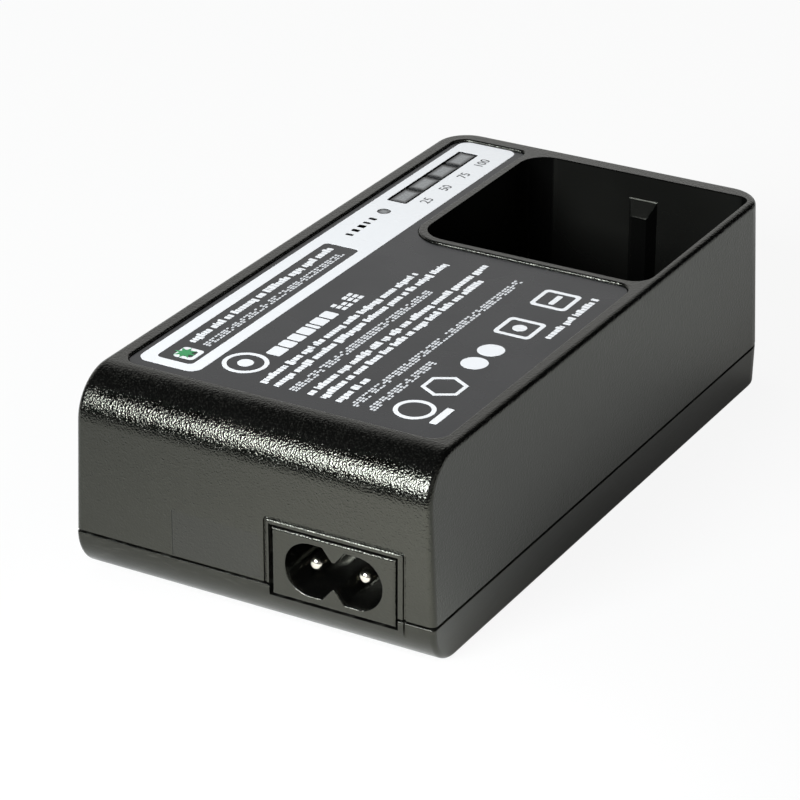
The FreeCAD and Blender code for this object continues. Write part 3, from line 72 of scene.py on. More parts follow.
back = Vector((
    math.sin(AZIMUTH) * math.cos(ELEVATION),
    -math.cos(AZIMUTH) * math.cos(ELEVATION),
    math.sin(ELEVATION),
))
level = Vector((math.cos(AZIMUTH), math.sin(AZIMUTH), 0))
lift = back.cross(level)
right = level * math.cos(ROLL) + lift * math.sin(ROLL)
up = lift * math.cos(ROLL) - level * math.sin(ROLL)
camera_data = bpy.data.cameras.new("studio_camera")
camera_data.sensor_width = SENSOR_WIDTH
camera_data.lens = FOCAL_LENGTH
camera_data.clip_start = NEAREST_SEEN
camera = bpy.data.objects.new("studio_camera", camera_data)
bpy.context.scene.collection.objects.link(camera)
camera.matrix_world = Matrix.Translation(CAMERA_PLACE) @ Matrix((right, up, back)).transposed().to_4x4()
bpy.context.scene.camera = camera
bpy.context.scene.view_settings.view_transform = "Standard"
print("camera looks along", [round(v, 3) for v in -back])

# %% [markdown]
# ## Shader helpers
# Materials are trees of nodes. A few small helpers keep the cells short: one adds a node and fills its
# sockets with numbers or links, and the others wrap the nodes that come up most, for sums, vectors and
# ranges.


# %% Helpers for nodes
def add(tree, kind, settings=None, **sockets):
    """Adds a node. settings are its own properties. sockets are its inputs, by name with _ for spaces, or
    by number, with i0 for the first."""
    made = tree.nodes.new(kind)
    for name, value in (settings or {}).items():
        setattr(made, name, value)
    for name, value in sockets.items():
        key = int(name[1:]) if name[0] == "i" and name[1:].isdigit() else name.replace("_", " ")
        socket = made.inputs[key]
        if isinstance(value, bpy.types.NodeSocket):
            tree.links.new(value, socket)
        else:
            socket.default_value = value
    return made


def math_node(tree, operation, first, second=0.0, clamp=False):
    """The result of one operation on two numbers, held between 0 and 1 if clamp is on."""
    settings = {"operation": operation, "use_clamp": clamp}
    return add(tree, "ShaderNodeMath", settings, i0=first, i1=second).outputs[0]


def vector_node(tree, operation, first, second=(0, 0, 0)):
    """The result of one operation on two vectors."""
    return add(tree, "ShaderNodeVectorMath", {"operation": operation}, i0=first, i1=second).outputs[0]


def spread(tree, value, low, high, to_low, to_high):
    """Maps a value from one range to another, held at the ends."""
    made = add(tree, "ShaderNodeMapRange", None, Value=value,
               From_Min=low, From_Max=high, To_Min=to_low, To_Max=to_high)
    return made.outputs[0]


print("node helpers ready")

# %% [markdown]
# ## Effects that several finishes share
# Moulded plastic takes its grain from a spark-eroded steel mould: rounded pits of a fraction of a millimetre
# with finer roughness in them. One group makes that grain at any size. A second group gives the slow
# change of gloss that handling and cooling leave. A third marks a box in space, for finishes that change
# from one region of a moulding to the next.


# %% An empty group
def new_group(name, inputs, outputs):
    """A shader group with named float or vector inputs and float outputs."""
    tree = bpy.data.node_groups.new(name, "ShaderNodeTree")
    for title, (kind, value) in inputs.items():
        socket = tree.interface.new_socket(title, in_out="INPUT", socket_type=f"NodeSocket{kind}")
        socket.default_value = value
    for title in outputs:
        tree.interface.new_socket(title, in_out="OUTPUT", socket_type="NodeSocketFloat")
    source = tree.nodes.new("NodeGroupInput")
    target = tree.nodes.new("NodeGroupOutput")
    return tree, source.outputs, target.inputs


# %% Grain of a spark-eroded mould
PIT_SMOOTHNESS = 0.3
FINE_DENSITY, CRUMB_DENSITY = 1.7, 1.1
FLECK_START, FLECK_END = 0.54, 0.64
PIT_SHARE, FINE_SHARE, FLECK_SHARE = 0.65, 0.4, 0.16

spark_grain, grain_in, grain_out = new_group(
    "spark_grain", {"Size": ("Float", 0.5 * MM), "Stretch": ("Vector", (1, 1, 1))}, ["Height", "Fleck"])
place = add(spark_grain, "ShaderNodeTexCoord").outputs["Object"]
stretched = vector_node(spark_grain, "MULTIPLY", place, grain_in["Stretch"])
density = math_node(spark_grain, "DIVIDE", 1.0, grain_in["Size"])
pits = add(spark_grain, "ShaderNodeTexVoronoi", {"feature": "SMOOTH_F1"},
           Vector=stretched, Scale=density, Smoothness=PIT_SMOOTHNESS).outputs["Distance"]
fine = add(spark_grain, "ShaderNodeTexNoise", None, Vector=stretched, Detail=3.0, Roughness=0.6,
           Scale=math_node(spark_grain, "MULTIPLY", density, FINE_DENSITY)).outputs[0]
crumbs = add(spark_grain, "ShaderNodeTexNoise", None, Vector=stretched, Detail=1.0, Roughness=0.5,
             Scale=math_node(spark_grain, "MULTIPLY", density, CRUMB_DENSITY)).outputs[0]
fleck = spread(spark_grain, crumbs, FLECK_START, FLECK_END, 0.0, 1.0)
coarse = math_node(spark_grain, "MULTIPLY", pits, PIT_SHARE)
blend = math_node(spark_grain, "ADD", coarse, math_node(spark_grain, "MULTIPLY", fine, FINE_SHARE))
blend = math_node(spark_grain, "ADD", blend, math_node(spark_grain, "MULTIPLY", fleck, FLECK_SHARE))
spark_grain.links.new(blend, grain_out["Height"])
spark_grain.links.new(fleck, grain_out["Fleck"])
print("grain:", len(spark_grain.nodes), "nodes")

# %% Slow change of gloss
CLOUD_LOW, CLOUD_HIGH = 0.3, 0.7

slow_change, slow_in, slow_out = new_group("slow_change", {"Size": ("Float", 20 * MM)}, ["Value"])
place = add(slow_change, "ShaderNodeTexCoord").outputs["Object"]
cloud = add(slow_change, "ShaderNodeTexNoise", None, Vector=place, Detail=2.0, Roughness=0.5,
            Scale=math_node(slow_change, "DIVIDE", 1.0, slow_in["Size"])).outputs[0]
slow_change.links.new(spread(slow_change, cloud, CLOUD_LOW, CLOUD_HIGH, 0.0, 1.0), slow_out["Value"])
print("slow change:", len(slow_change.nodes), "nodes")

# %% A box in space
box_mask, box_in, box_out = new_group(
    "box_mask",
    {"Middle": ("Vector", (0, 0, 0)), "Half": ("Vector", (1, 1, 1)), "Soft": ("Float", 0.1 * MM)}, ["Mask"])
place = add(box_mask, "ShaderNodeTexCoord").outputs["Object"]
from_middle = vector_node(box_mask, "SUBTRACT", place, box_in["Middle"])
outside = vector_node(box_mask, "SUBTRACT", vector_node(box_mask, "ABSOLUTE", from_middle), box_in["Half"])
x, y, z = add(box_mask, "ShaderNodeSeparateXYZ", None, Vector=outside).outputs
reach = math_node(box_mask, "MAXIMUM", math_node(box_mask, "MAXIMUM", x, y), z)
inner = math_node(box_mask, "MULTIPLY", box_in["Soft"], -1.0)
box_mask.links.new(spread(box_mask, reach, inner, box_in["Soft"], 1.0, 0.0), box_out["Mask"])
print("groups:", [group.name for group in bpy.data.node_groups])

# %% [markdown]
# ## Case finishes
# The upper shell is black plastic with spark grain outside and a polished battery well, and the inlet has the
# same grain round a polished mouth. The lower shell is smoother satin. All are nearly black: what the eye
# reads as grey is the bright table and backdrop in their gloss, so the colour stays dark and the grain and
# roughness do the work. Low on the front a patch of the mould was changed: it shows as a duller field
# with a hairline at its left. Boxes in space mark all these regions, so one material covers a shell.


# %% Helpers for materials
def principled(name, **sockets):
    """A new material with its Principled shader joined to the output."""
    made = bpy.data.materials.new(name)
    made.use_nodes = True
    made.node_tree.nodes.clear()
    shader = add(made.node_tree, "ShaderNodeBsdfPrincipled", None, **sockets)
    add(made.node_tree, "ShaderNodeOutputMaterial", None, Surface=shader.outputs[0])
    return made, made.node_tree, shader


def feed(tree, shader, **sockets):
    """Joins outputs of other nodes to sockets of the shader."""
    for name, value in sockets.items():
        tree.links.new(value, shader.inputs[name.replace("_", " ")])


def mix_colour(tree, share, first, second):
    """The first colour where share is 0, the second where it is 1, and a blend between."""
    made = add(tree, "ShaderNodeMix", {"data_type": "RGBA"}, i0=share, i6=first, i7=second)
    return made.outputs[2]


def bump(tree, height, distance, strength=1.0):
    """A normal from a height of 0 to 1, which stands for distance in metres."""
    return add(tree, "ShaderNodeBump", None, Height=height, Distance=distance, Strength=strength).outputs[0]


def place_group(tree, group, **sockets):
    """Puts a group into a tree and gives back its outputs."""
    return add(tree, "ShaderNodeGroup", {"node_tree": group}, **sockets).outputs


def mm_box(low, high):
    """Two corners in millimetres as vectors in metres."""
    return Vector(low) * MM, Vector(high) * MM


def region(tree, low, high, soft):
    """How far a point lies in a box: 1 inside, 0 outside, with a soft edge in millimetres."""
    middle, half = (low + high) / 2, (high - low) / 2
    return place_group(tree, box_mask, Middle=middle, Half=half, Soft=soft * MM)["Mask"]


# %% Spark-eroded black
PLASTIC_INDEX = 1.6
CASE_TINT = (1.0, 0.995, 0.84, 1)
CASE_DARK, CASE_FLECK = (0.0020, 0.0020, 0.0018, 1), (0.0070, 0.0070, 0.0060, 1)
GRAIN_SIZE, GRAIN_DEPTH = 0.33 * MM, 0.060 * MM
GRAIN_ROUGH, POLISHED_ROUGH, DULL_ROUGH = 0.13, 0.10, 0.18
CASE_CLOUD, CLOUD_ROUGH = 18 * MM, 0.02
POLISHED_RELIEF = 0.05
SHOULDER_HALF, SHOULDER_RISE = 0.14, 2.35
PATCH_TONE, PATCH_SHARE = (0.005, 0.005, 0.0075, 1), 0.4
PATCH_ROUGH, LINE_ROUGH = 0.07, 0.9
POLISHED_EDGE, DULL_EDGE, PATCH_EDGE, LINE_EDGE = 0.1, 0.05, 0.06, 0.05


def spark_finish(name, polished_box, dull_box=None, patch_box=None, line_box=None, frame_box=None):
    """Black plastic with spark grain and a box in which the mould was polished. Some have a dull wall in
    that box, a changed patch with a hairline beside it, and a rounded shoulder along a frame."""
    made, tree, shader = principled(name, IOR=PLASTIC_INDEX, Specular_Tint=CASE_TINT)
    grain = place_group(tree, spark_grain, Size=GRAIN_SIZE)
    polished = region(tree, *polished_box, POLISHED_EDGE)
    plain = math_node(tree, "SUBTRACT", 1.0, polished)
    cloud = place_group(tree, slow_change, Size=CASE_CLOUD)["Value"]
    rough = math_node(tree, "ADD", spread(tree, polished, 0.0, 1.0, GRAIN_ROUGH, POLISHED_ROUGH),
                      spread(tree, cloud, 0.0, 1.0, -CLOUD_ROUGH, CLOUD_ROUGH))
    colour = mix_colour(tree, math_node(tree, "MULTIPLY", grain["Fleck"], plain), CASE_DARK, CASE_FLECK)
    relief = math_node(tree, "MAXIMUM", plain, POLISHED_RELIEF)
    height = math_node(tree, "MULTIPLY", grain["Height"], relief)
    if dull_box:
        dull = region(tree, *dull_box, DULL_EDGE)
        rough = math_node(tree, "ADD", rough, math_node(tree, "MULTIPLY", dull, DULL_ROUGH))
    if frame_box:
        shoulder = region(tree, *frame_box, SHOULDER_HALF)
        height = math_node(tree, "ADD", height, math_node(tree, "MULTIPLY", shoulder, SHOULDER_RISE))
    if patch_box:
        patch = region(tree, *patch_box, PATCH_EDGE)
        line = region(tree, *line_box, LINE_EDGE)
        colour = mix_colour(tree, math_node(tree, "MULTIPLY", patch, PATCH_SHARE), colour, PATCH_TONE)
        rough = math_node(tree, "ADD", rough, math_node(tree, "MULTIPLY", patch, PATCH_ROUGH))
        rough = math_node(tree, "ADD", rough, math_node(tree, "MULTIPLY", line, LINE_ROUGH), clamp=True)
    feed(tree, shader, Base_Color=colour, Roughness=rough, Normal=bump(tree, height, GRAIN_DEPTH))
    return made


# %% Upper shell and inlet
case_black = spark_finish(
    "case_textured_black",
    polished_box=mm_box((-12.9, 14.3, 9.0), (29.5, 56.9, 34.3)),
    dull_box=mm_box((-12.9, 56.6, 9.0), (29.5, 57.0, 34.3)),
    patch_box=mm_box((-13.95, -60.5, 8.1), (1.8, -59.5, 15.75)),
    line_box=mm_box((-14.12, -60.5, 8.0), (-13.88, -59.5, 15.75)),
    frame_box=mm_box((2.9, -60.5, 0.0), (26.7, -59.5, 18.7)))
inlet_black = spark_finish("inlet_black", polished_box=mm_box((5.0, -59.4, 6.5), (24.5, -40.0, 17.0)))
print("spark finishes:", case_black.name, inlet_black.name)

# %% Lower shell
SATIN_INDEX = 1.53
SATIN_DARK, SATIN_FLECK = (0.0026, 0.0026, 0.0023, 1), (0.014, 0.014, 0.012, 1)
SATIN_ROUGH = (0.18, 0.23)
SATIN_CLOUD = 14 * MM
STREAK_SIZE, STREAK_STRETCH = 0.4 * MM, (0.2, 0.2, 1.0)
STREAK_DEPTH, STREAK_STRENGTH = 0.02 * MM, 0.6

case_satin, tree, shader = principled("case_satin_black", IOR=SATIN_INDEX, Specular_Tint=CASE_TINT)
streaks = place_group(tree, spark_grain, Size=STREAK_SIZE, Stretch=STREAK_STRETCH)
cloud = place_group(tree, slow_change, Size=SATIN_CLOUD)["Value"]
feed(tree, shader,
     Base_Color=mix_colour(tree, streaks["Fleck"], SATIN_DARK, SATIN_FLECK),
     Roughness=spread(tree, cloud, 0.0, 1.0, *SATIN_ROUGH),
     Normal=bump(tree, streaks["Height"], STREAK_DEPTH, STREAK_STRENGTH))
print("satin finish:", case_satin.name)

# %% [markdown]
# ## Film, print and lenses
# The film is a satin polyester sheet, printed in white, grey, black and green. The lenses in its window are
# smoked plastic, a little lighter where a lamp sits under them. All of them are smooth, with a very fine
# orange peel.

# %% Film and print finishes
SHEET_CLOUD, SHEET_ROUGH = 9 * MM, 0.03
SHEET_PEEL, PEEL_DEPTH = 0.35 * MM, 0.004 * MM


def sheet_finish(name, dark, light, roughness):
    """A smooth printed sheet: two close tones in slow clouds and a shallow orange peel."""
    made, tree, shader = principled(name, Specular_IOR_Level=0.5)
    cloud = place_group(tree, slow_change, Size=SHEET_CLOUD)["Value"]
    peel = place_group(tree, spark_grain, Size=SHEET_PEEL)
    feed(tree, shader,
         Base_Color=mix_colour(tree, cloud, (*dark, 1), (*light, 1)),
         Roughness=spread(tree, cloud, 0.0, 1.0, roughness - SHEET_ROUGH, roughness + SHEET_ROUGH),
         Normal=bump(tree, peel["Height"], PEEL_DEPTH))
    return made


film_charcoal = sheet_finish("film_charcoal", (0.009, 0.0095, 0.0105), (0.011, 0.0115, 0.0125), 0.28)
print_white = sheet_finish("print_white", (0.86, 0.86, 0.85), (0.87, 0.87, 0.86), 0.28)
print_grey = sheet_finish("print_grey", (0.70, 0.705, 0.705), (0.71, 0.715, 0.715), 0.28)
print_black = sheet_finish("print_black", (0.030, 0.031, 0.033), (0.036, 0.037, 0.039), 0.28)
print_green = sheet_finish("print_green", (0.01, 0.22, 0.06), (0.02, 0.30, 0.09), 0.34)
print("film and print finishes ready")

# %% Places of the lenses
LENS_INSET = 3.4
LENS_COUNT = 4
guide_low, guide_high = (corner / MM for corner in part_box("charge_light_guide"))
pipe_low, pipe_high = (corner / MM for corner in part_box("power_light_pipe"))
lens_x = (guide_low.x + guide_high.x) / 2
lens_y = np.linspace(guide_low.y + LENS_INSET, guide_high.y - LENS_INSET, LENS_COUNT)
power_x, power_y = (pipe_low.x + pipe_high.x) / 2, (pipe_low.y + pipe_high.y) / 2
print("lenses at", round(lens_x, 2), lens_y.round(2), "power lens at", round(power_x, 2), round(power_y, 2))

# %% Lens finish
CELL_HALF, DOT_HALF = (1.0, 2.1), (0.55, 0.55)
CELL_DEPTH, CELL_EDGE = 0.3, 0.4
LENS_DARK, LENS_LIGHT = (0.018, 0.018, 0.018, 1), (0.27, 0.275, 0.27, 1)
LENS_PEEL, LENS_ROUGH = 0.5 * MM, (0.2, 0.3)
RELIEF_LOW, RELIEF_HIGH = 0.2, 0.8

lens_smoke, tree, shader = principled("lens_smoke")
cells = [(lens_x, y, *CELL_HALF) for y in lens_y] + [(power_x, power_y, *DOT_HALF)]
lit = 0.0
for x, y, half_x, half_y in cells:
    cell = mm_box((x - half_x, y - half_y, guide_high.z - CELL_DEPTH),
                  (x + half_x, y + half_y, guide_high.z + CELL_DEPTH))
    lit = math_node(tree, "MAXIMUM", lit, region(tree, *cell, CELL_EDGE))
peel = place_group(tree, spark_grain, Size=LENS_PEEL)
feed(tree, shader,
     Base_Color=mix_colour(tree, lit, LENS_DARK, LENS_LIGHT),
     Roughness=spread(tree, peel["Height"], RELIEF_LOW, RELIEF_HIGH, *LENS_ROUGH),
     Normal=bump(tree, peel["Height"], PEEL_DEPTH))
print("lens cells:", len(cells))

# %% [markdown]
# ## Metal and the parts inside
# Pins and blades are nickel on brass, with fine draw marks along them. The parts on the boards are closed
# in by the case, but they are the real ones, so each gets the finish that it has on a bench.

# %% Metals
MARK_SIZE, MARK_DEPTH, MARK_TONE = 0.25 * MM, 0.004 * MM, 0.86
MARK_SMOOTHER, MARK_ROUGHER = 0.05, 0.07


def metal_finish(name, colour, roughness, stretch):
    """Metal with draw marks: grain that is stretched along the direction in which it was drawn."""
    made, tree, shader = principled(name, Metallic=1.0)
    marks = place_group(tree, spark_grain, Size=MARK_SIZE, Stretch=stretch)
    tone = tuple(MARK_TONE * channel for channel in colour)
    feed(tree, shader,
         Base_Color=mix_colour(tree, marks["Fleck"], (*colour, 1), (*tone, 1)),
         Roughness=spread(tree, marks["Height"], RELIEF_LOW, RELIEF_HIGH,
                          roughness - MARK_SMOOTHER, roughness + MARK_ROUGHER),
         Normal=bump(tree, marks["Height"], MARK_DEPTH))
    return made


nickel = metal_finish("nickel_plate", (0.72, 0.68, 0.60), 0.15, (1.0, 0.15, 1.0))
zinc = metal_finish("zinc_plate", (0.52, 0.53, 0.54), 0.32, (1.0, 1.0, 0.3))
extruded = metal_finish("extruded_aluminium", (0.76, 0.76, 0.77), 0.34, (1.0, 1.0, 0.08))
enamelled_wire = metal_finish("enamelled_wire", (0.62, 0.26, 0.10), 0.26, (1.0, 1.0, 1.0))
print("metals:", [metal.name for metal in (nickel, zinc, extruded, enamelled_wire)])

# %% Plastics, laminate and ferrite inside
INNER_GRAIN, INNER_DEPTH = 0.4 * MM, 0.02 * MM
INNER_CLOUD, INNER_ROUGHER = 6 * MM, 0.12


def inner_finish(name, dark, light, roughness):
    """A moulded or coated part: two tones in clouds, duller flecks of grain and a little relief."""
    made, tree, shader = principled(name)
    texture = place_group(tree, spark_grain, Size=INNER_GRAIN)
    cloud = place_group(tree, slow_change, Size=INNER_CLOUD)["Value"]
    feed(tree, shader,
         Base_Color=mix_colour(tree, cloud, (*dark, 1), (*light, 1)),
         Roughness=spread(tree, texture["Fleck"], 0.0, 1.0, roughness, roughness + INNER_ROUGHER),
         Normal=bump(tree, texture["Height"], INNER_DEPTH))
    return made


INNER = {
    "laminate_green": ((0.03, 0.11, 0.05), (0.04, 0.14, 0.06), 0.35),
    "fibre_sheet": ((0.68, 0.66, 0.58), (0.76, 0.74, 0.66), 0.75),
    "lamp_epoxy": ((0.70, 0.68, 0.55), (0.78, 0.76, 0.64), 0.25),
    "ribbon_grey": ((0.42, 0.42, 0.42), (0.50, 0.50, 0.50), 0.45),
    "moulded_black": ((0.012, 0.012, 0.012), (0.02, 0.02, 0.02), 0.48),
    "ferrite_grey": ((0.05, 0.05, 0.052), (0.075, 0.075, 0.078), 0.55),
    "tape_yellow": ((0.66, 0.48, 0.05), (0.74, 0.56, 0.08), 0.35),
    "box_yellow": ((0.60, 0.42, 0.04), (0.68, 0.50, 0.07), 0.42),
    "sleeve_navy": ((0.018, 0.022, 0.06), (0.026, 0.032, 0.08), 0.28),
    "dipped_blue": ((0.03, 0.10, 0.32), (0.05, 0.14, 0.40), 0.30),
    "coated_green": ((0.06, 0.22, 0.10), (0.08, 0.28, 0.13), 0.45),
}
inner = {name: inner_finish(name, *values) for name, values in INNER.items()}
print("inner finishes:", len(inner))

# %% A finish for every node
FINISHES = {
    "case_textured": case_black, "case_satin": case_satin, "film": film_charcoal, "lens": lens_smoke,
    "inlet_black": inlet_black, "nickel": nickel, "steel": zinc, "heat_sink": extruded,
    "copper": enamelled_wire, "laminate": inner["laminate_green"], "insulation": inner["fibre_sheet"],
    "lamp": inner["lamp_epoxy"], "ribbon": inner["ribbon_grey"], "contact_black": inner["moulded_black"],
    "bobbin": inner["moulded_black"], "ferrite": inner["ferrite_grey"], "coil_tape": inner["tape_yellow"],
    "capacitor_yellow": inner["box_yellow"], "capacitor_sleeve": inner["sleeve_navy"],
    "capacitor_blue": inner["dipped_blue"], "inductor_green": inner["coated_green"],
}
for entry in frame["record"]["subparts"]:
    frame["nodes"][entry["node"]].material_slots[0].material = FINISHES[entry["material_slot"]]

# %% [markdown]
# ## The print on the film
# Ink has almost no thickness, but as geometry it stays sharp at any distance. Each mark is a flat pad: its
# outline at the top and again at the bottom, with a wall between and a face over each end. An open mark,
# such as a frame, is a band between two outlines with the same number of points.

# %% Outlines
film_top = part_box("graphic_overlay")[1].z / MM
INK = 0.03
CORNER_POINTS = 8
PRINT_ORIGIN = np.array((-0.31, 0.54))


def rounded_outline(left, right, front, rear, radius, corner_points=CORNER_POINTS):
    """Rectangle with round corners: a quarter circle about each corner's centre, four times round."""
    turns = np.arange(4)[:, None] * np.pi / 2 + np.linspace(0, np.pi / 2, corner_points)[None, :]
    centre_x = np.array([right - radius, left + radius, left + radius, right - radius])[:, None]
    centre_y = np.array([rear - radius, rear - radius, front + radius, front + radius])[:, None]
    points = np.stack([centre_x + radius * np.cos(turns), centre_y + radius * np.sin(turns)], axis=-1)
    return points.reshape(-1, 2)


def round_outline(x, y, radius, sides=4 * CORNER_POINTS, turn=0.0):
    """Regular polygon, or a circle when it has many sides: points at equal angles about x and y."""
    angles = turn + np.arange(sides) * 2 * np.pi / sides
    return np.stack([x + radius * np.cos(angles), y + radius * np.sin(angles)], axis=-1)


def star_outline(x, y, outer, inner, points):
    """Star: the radius swaps between outer and inner from one point to the next."""
    angles = np.arange(2 * points) * np.pi / points
    radii = np.where(np.arange(2 * points) % 2 == 0, outer, inner)
    return np.stack([x + radii * np.cos(angles), y + radii * np.sin(angles)], axis=-1)


print("film top at", round(film_top, 2), "mm")


# %% Pads and bands
def ring_faces(rings, sides, closed):
    """Quads between neighbouring rings of a grid, wrapped round, and from the last ring to the first if
    closed."""
    row = np.arange(rings if closed else rings - 1)[:, None]
    column = np.arange(sides)[None, :]
    after, beside = (row + 1) % rings, (column + 1) % sides
    quads = [row * sides + column, after * sides + column, after * sides + beside, row * sides + beside]
    return np.stack(quads, -1).reshape(-1, 4)


def pad(outline, bottom, top):
    """Points and faces of a flat pad: its outline at the top and at the bottom, capped by one face each."""
    sides = len(outline)
    points = np.concatenate([
        np.column_stack([outline, np.full(sides, top)]),
        np.column_stack([outline, np.full(sides, bottom)]),
    ])
    walls = ring_faces(2, sides, False)
    return points, [*walls.tolist(), list(range(sides)), list(range(2 * sides - 1, sides - 1, -1))]


def band(outer, inner, bottom, top):
    """Points and faces of a flat band: four rings, outer top, outer bottom, inner bottom and inner top."""
    sides = len(outer)
    rings = [(outer, top), (outer, bottom), (inner, bottom), (inner, top)]
    points = np.concatenate([np.column_stack([ring, np.full(sides, z)]) for ring, z in rings])
    return points, ring_faces(4, sides, True).tolist()


def on_film(outline):
    """A pad of ink from the print's own drawing, laid on the film."""
    return pad(outline + PRINT_ORIGIN, film_top, film_top + INK)


def framed(outer, inner):
    """A band of ink from the print's own drawing, laid on the film."""
    return band(outer + PRINT_ORIGIN, inner + PRINT_ORIGIN, film_top, film_top + INK)


# %% A piece from its shapes
def build(name, shapes, finish):
    """One mesh object from (points, faces) in millimetres, which rides on the charger's body."""
    points, faces, start = [], [], 0
    for shape_points, shape_faces in shapes:
        points.append(shape_points)
        faces += [[index + start for index in face] for face in shape_faces]
        start += len(shape_points)
    mesh = bpy.data.meshes.new(name)
    mesh.from_pydata((np.concatenate(points) * MM).tolist(), [], faces)
    mesh.update()
    mesh.materials.append(finish)
    piece = bpy.data.objects.new(name, mesh)
    bpy.context.scene.collection.objects.link(piece)
    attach(piece, "root")
    print(f"{name}: {len(mesh.vertices)} points, {len(mesh.polygons)} faces")
    return piece


# %% [markdown]
# ### The white field beside the lamps
# A white field with round corners runs along the left of the film. Its front half is a frame round a dark
# panel. Its rear half is open where the lamp window and the power lamp show through the film. One flat curve
# holds the field and its three openings, so Blender fills what lies between them, and the filled shape is
# made solid.

# %% White field
FIELD = {"left": -26.68, "right": -15.56, "front": -49.95, "rear": 55.97}
PANEL = {"left": -24.35, "right": -17.78, "front": -47.80, "rear": 3.76}
WINDOW = {"left": -24.9, "right": -21.0, "front": 25.05, "rear": 51.27}
FIELD_ROUND, PANEL_ROUND, WINDOW_ROUND = 2.0, 0.9, 0.45
POWER_PLACE, POWER_RADIUS = (-22.70, 20.40), 1.2


def filled(curve):
    """Points and faces of a flat curve's filled shape. Only the mesh is kept."""
    holder = bpy.data.objects.new("drawing", curve)
    flat = bpy.data.meshes.new_from_object(holder)
    bpy.data.objects.remove(holder)
    points = np.empty(len(flat.vertices) * 3)
    flat.vertices.foreach_get("co", points)
    return points.reshape(-1, 3)[:, :2], [list(polygon.vertices) for polygon in flat.polygons]


def thick_sheet(place, faces, bottom, top):
    """A flat shape made solid: the faces at the top, again at the bottom, and a wall along each free edge."""
    count = len(place)
    points = np.column_stack([np.tile(place, (2, 1)), np.repeat([top, bottom], count)])
    edges = [pair for face in faces for pair in zip(face, face[1:] + face[:1])]
    rim = set(edges) - {(end, start) for start, end in edges}
    walls = [[start, start + count, end + count, end] for start, end in sorted(rim)]
    under = [[index + count for index in reversed(face)] for face in faces]
    return points, faces + under + walls


white_drawing = bpy.data.curves.new("white_field", "CURVE")
white_drawing.dimensions, white_drawing.fill_mode = "2D", "BOTH"
for outline in (
    rounded_outline(*FIELD.values(), FIELD_ROUND),
    rounded_outline(*PANEL.values(), PANEL_ROUND),
    rounded_outline(*WINDOW.values(), WINDOW_ROUND),
    round_outline(*POWER_PLACE, POWER_RADIUS),
):
    spline = white_drawing.splines.new("POLY")
    spline.points.add(len(outline) - 1)
    spline.points.foreach_set("co", np.pad(outline, ((0, 0), (0, 2)), constant_values=1.0).ravel())
    spline.use_cyclic_u = True
place, faces = filled(white_drawing)
field_shapes = [thick_sheet(place + PRINT_ORIGIN, faces, film_top, film_top + INK)]
build("print_white_field", field_shapes, print_white)

# %% [markdown]
# ### Rows of blocks
# Blocks the size of letters fill the rows on the film, as in a layout sketch, so that a row has the rhythm
# of print. Some rows have narrow blocks of changing height in groups, others have even clusters of small
# dashes. A seeded random draw picks them, so that every run gives the same rows.

# %% Rows with groups
words = np.random.default_rng(7)
LETTER_WIDTHS = (0.34, 0.62, 0.70, 0.70, 0.95)
LETTER_GAP, WORD_GAP = 0.19, 0.62
GROUP_LEAST, GROUP_MOST = 2, 8
RISER_REACH, RISER_SHARE = 0.32, 0.3
TAIL_REACH, TAIL_SHARE = 0.26, 0.1
ROW_MARGIN = 0.5
BLOCK_ROUND, BLOCK_POINTS = 0.14, 3


def block_shape(x_head, x_foot, front, rear, radius=BLOCK_ROUND):
    """A block of ink: a small rectangle with round corners."""
    return on_film(rounded_outline(x_head, x_foot, front, rear, radius, BLOCK_POINTS))


def letter_row(x, start, end, height):
    """Blocks along +Y in groups of two to eight, with taller and lower ones drawn at random."""
    shapes, front = [], start
    while front < end - ROW_MARGIN:
        for width in words.choice(LETTER_WIDTHS, words.integers(GROUP_LEAST, GROUP_MOST + 1)):
            if front + width > end:
                break
            head = x - height / 2 - (RISER_REACH * height if words.random() < RISER_SHARE else 0.0)
            foot = x + height / 2 + (TAIL_REACH * height if words.random() < TAIL_SHARE else 0.0)
            shapes.append(block_shape(head, foot, front, front + width))
            front += width + LETTER_GAP
        front += WORD_GAP
    return shapes


ROW_START, LETTER_HEIGHT = -47.79, 1.05
LETTER_ROWS = {-4.92: 0.1, -2.49: 6.24, 3.48: 8.6, 5.81: 3.98, 8.44: -38.05}
PANEL_START, PANEL_END = -40.6, 2.4
rows = [shape for x, end in LETTER_ROWS.items() for shape in letter_row(x, ROW_START, end, LETTER_HEIGHT)]
rows += letter_row(-22.3, PANEL_START, PANEL_END, 1.15) + letter_row(25.4, -11.88, 5.57, 1.0)
build("print_letter_rows", rows, print_white)

# %% Rows with clusters
DASH_ROWS, DASH_COLUMNS = 3, 2
DASH_SHARE, DASH_FILL, DASH_ROUND = 0.85, 0.72, 0.1
CLUSTER_STEP = 1.12


def cluster_row(x, start, end, height):
    """Clusters along +Y: each is a grid of small dashes, of which the draw leaves some out."""
    shapes = []
    step_x, step_y = height / DASH_ROWS, height / DASH_COLUMNS
    for front in np.arange(start, end - height, CLUSTER_STEP * height):
        kept = np.argwhere(words.random((DASH_ROWS, DASH_COLUMNS)) < DASH_SHARE)
        for row, column in kept:
            head, near = x - height / 2 + row * step_x, front + column * step_y
            foot, far = head + DASH_FILL * step_x, near + DASH_FILL * step_y
            shapes.append(block_shape(head, foot, near, far, DASH_ROUND))
    return shapes


CLUSTER_HEIGHT = 1.6
CLUSTER_ROWS = {0.55: -3.7, 11.27: 7.37, 14.21: -27.8}
clusters = [shape for x, end in CLUSTER_ROWS.items()
            for shape in cluster_row(x, ROW_START, end, CLUSTER_HEIGHT)]
clusters += cluster_row(-19.6, PANEL_START, PANEL_END, 1.5)
build("print_cluster_rows", clusters, print_grey)

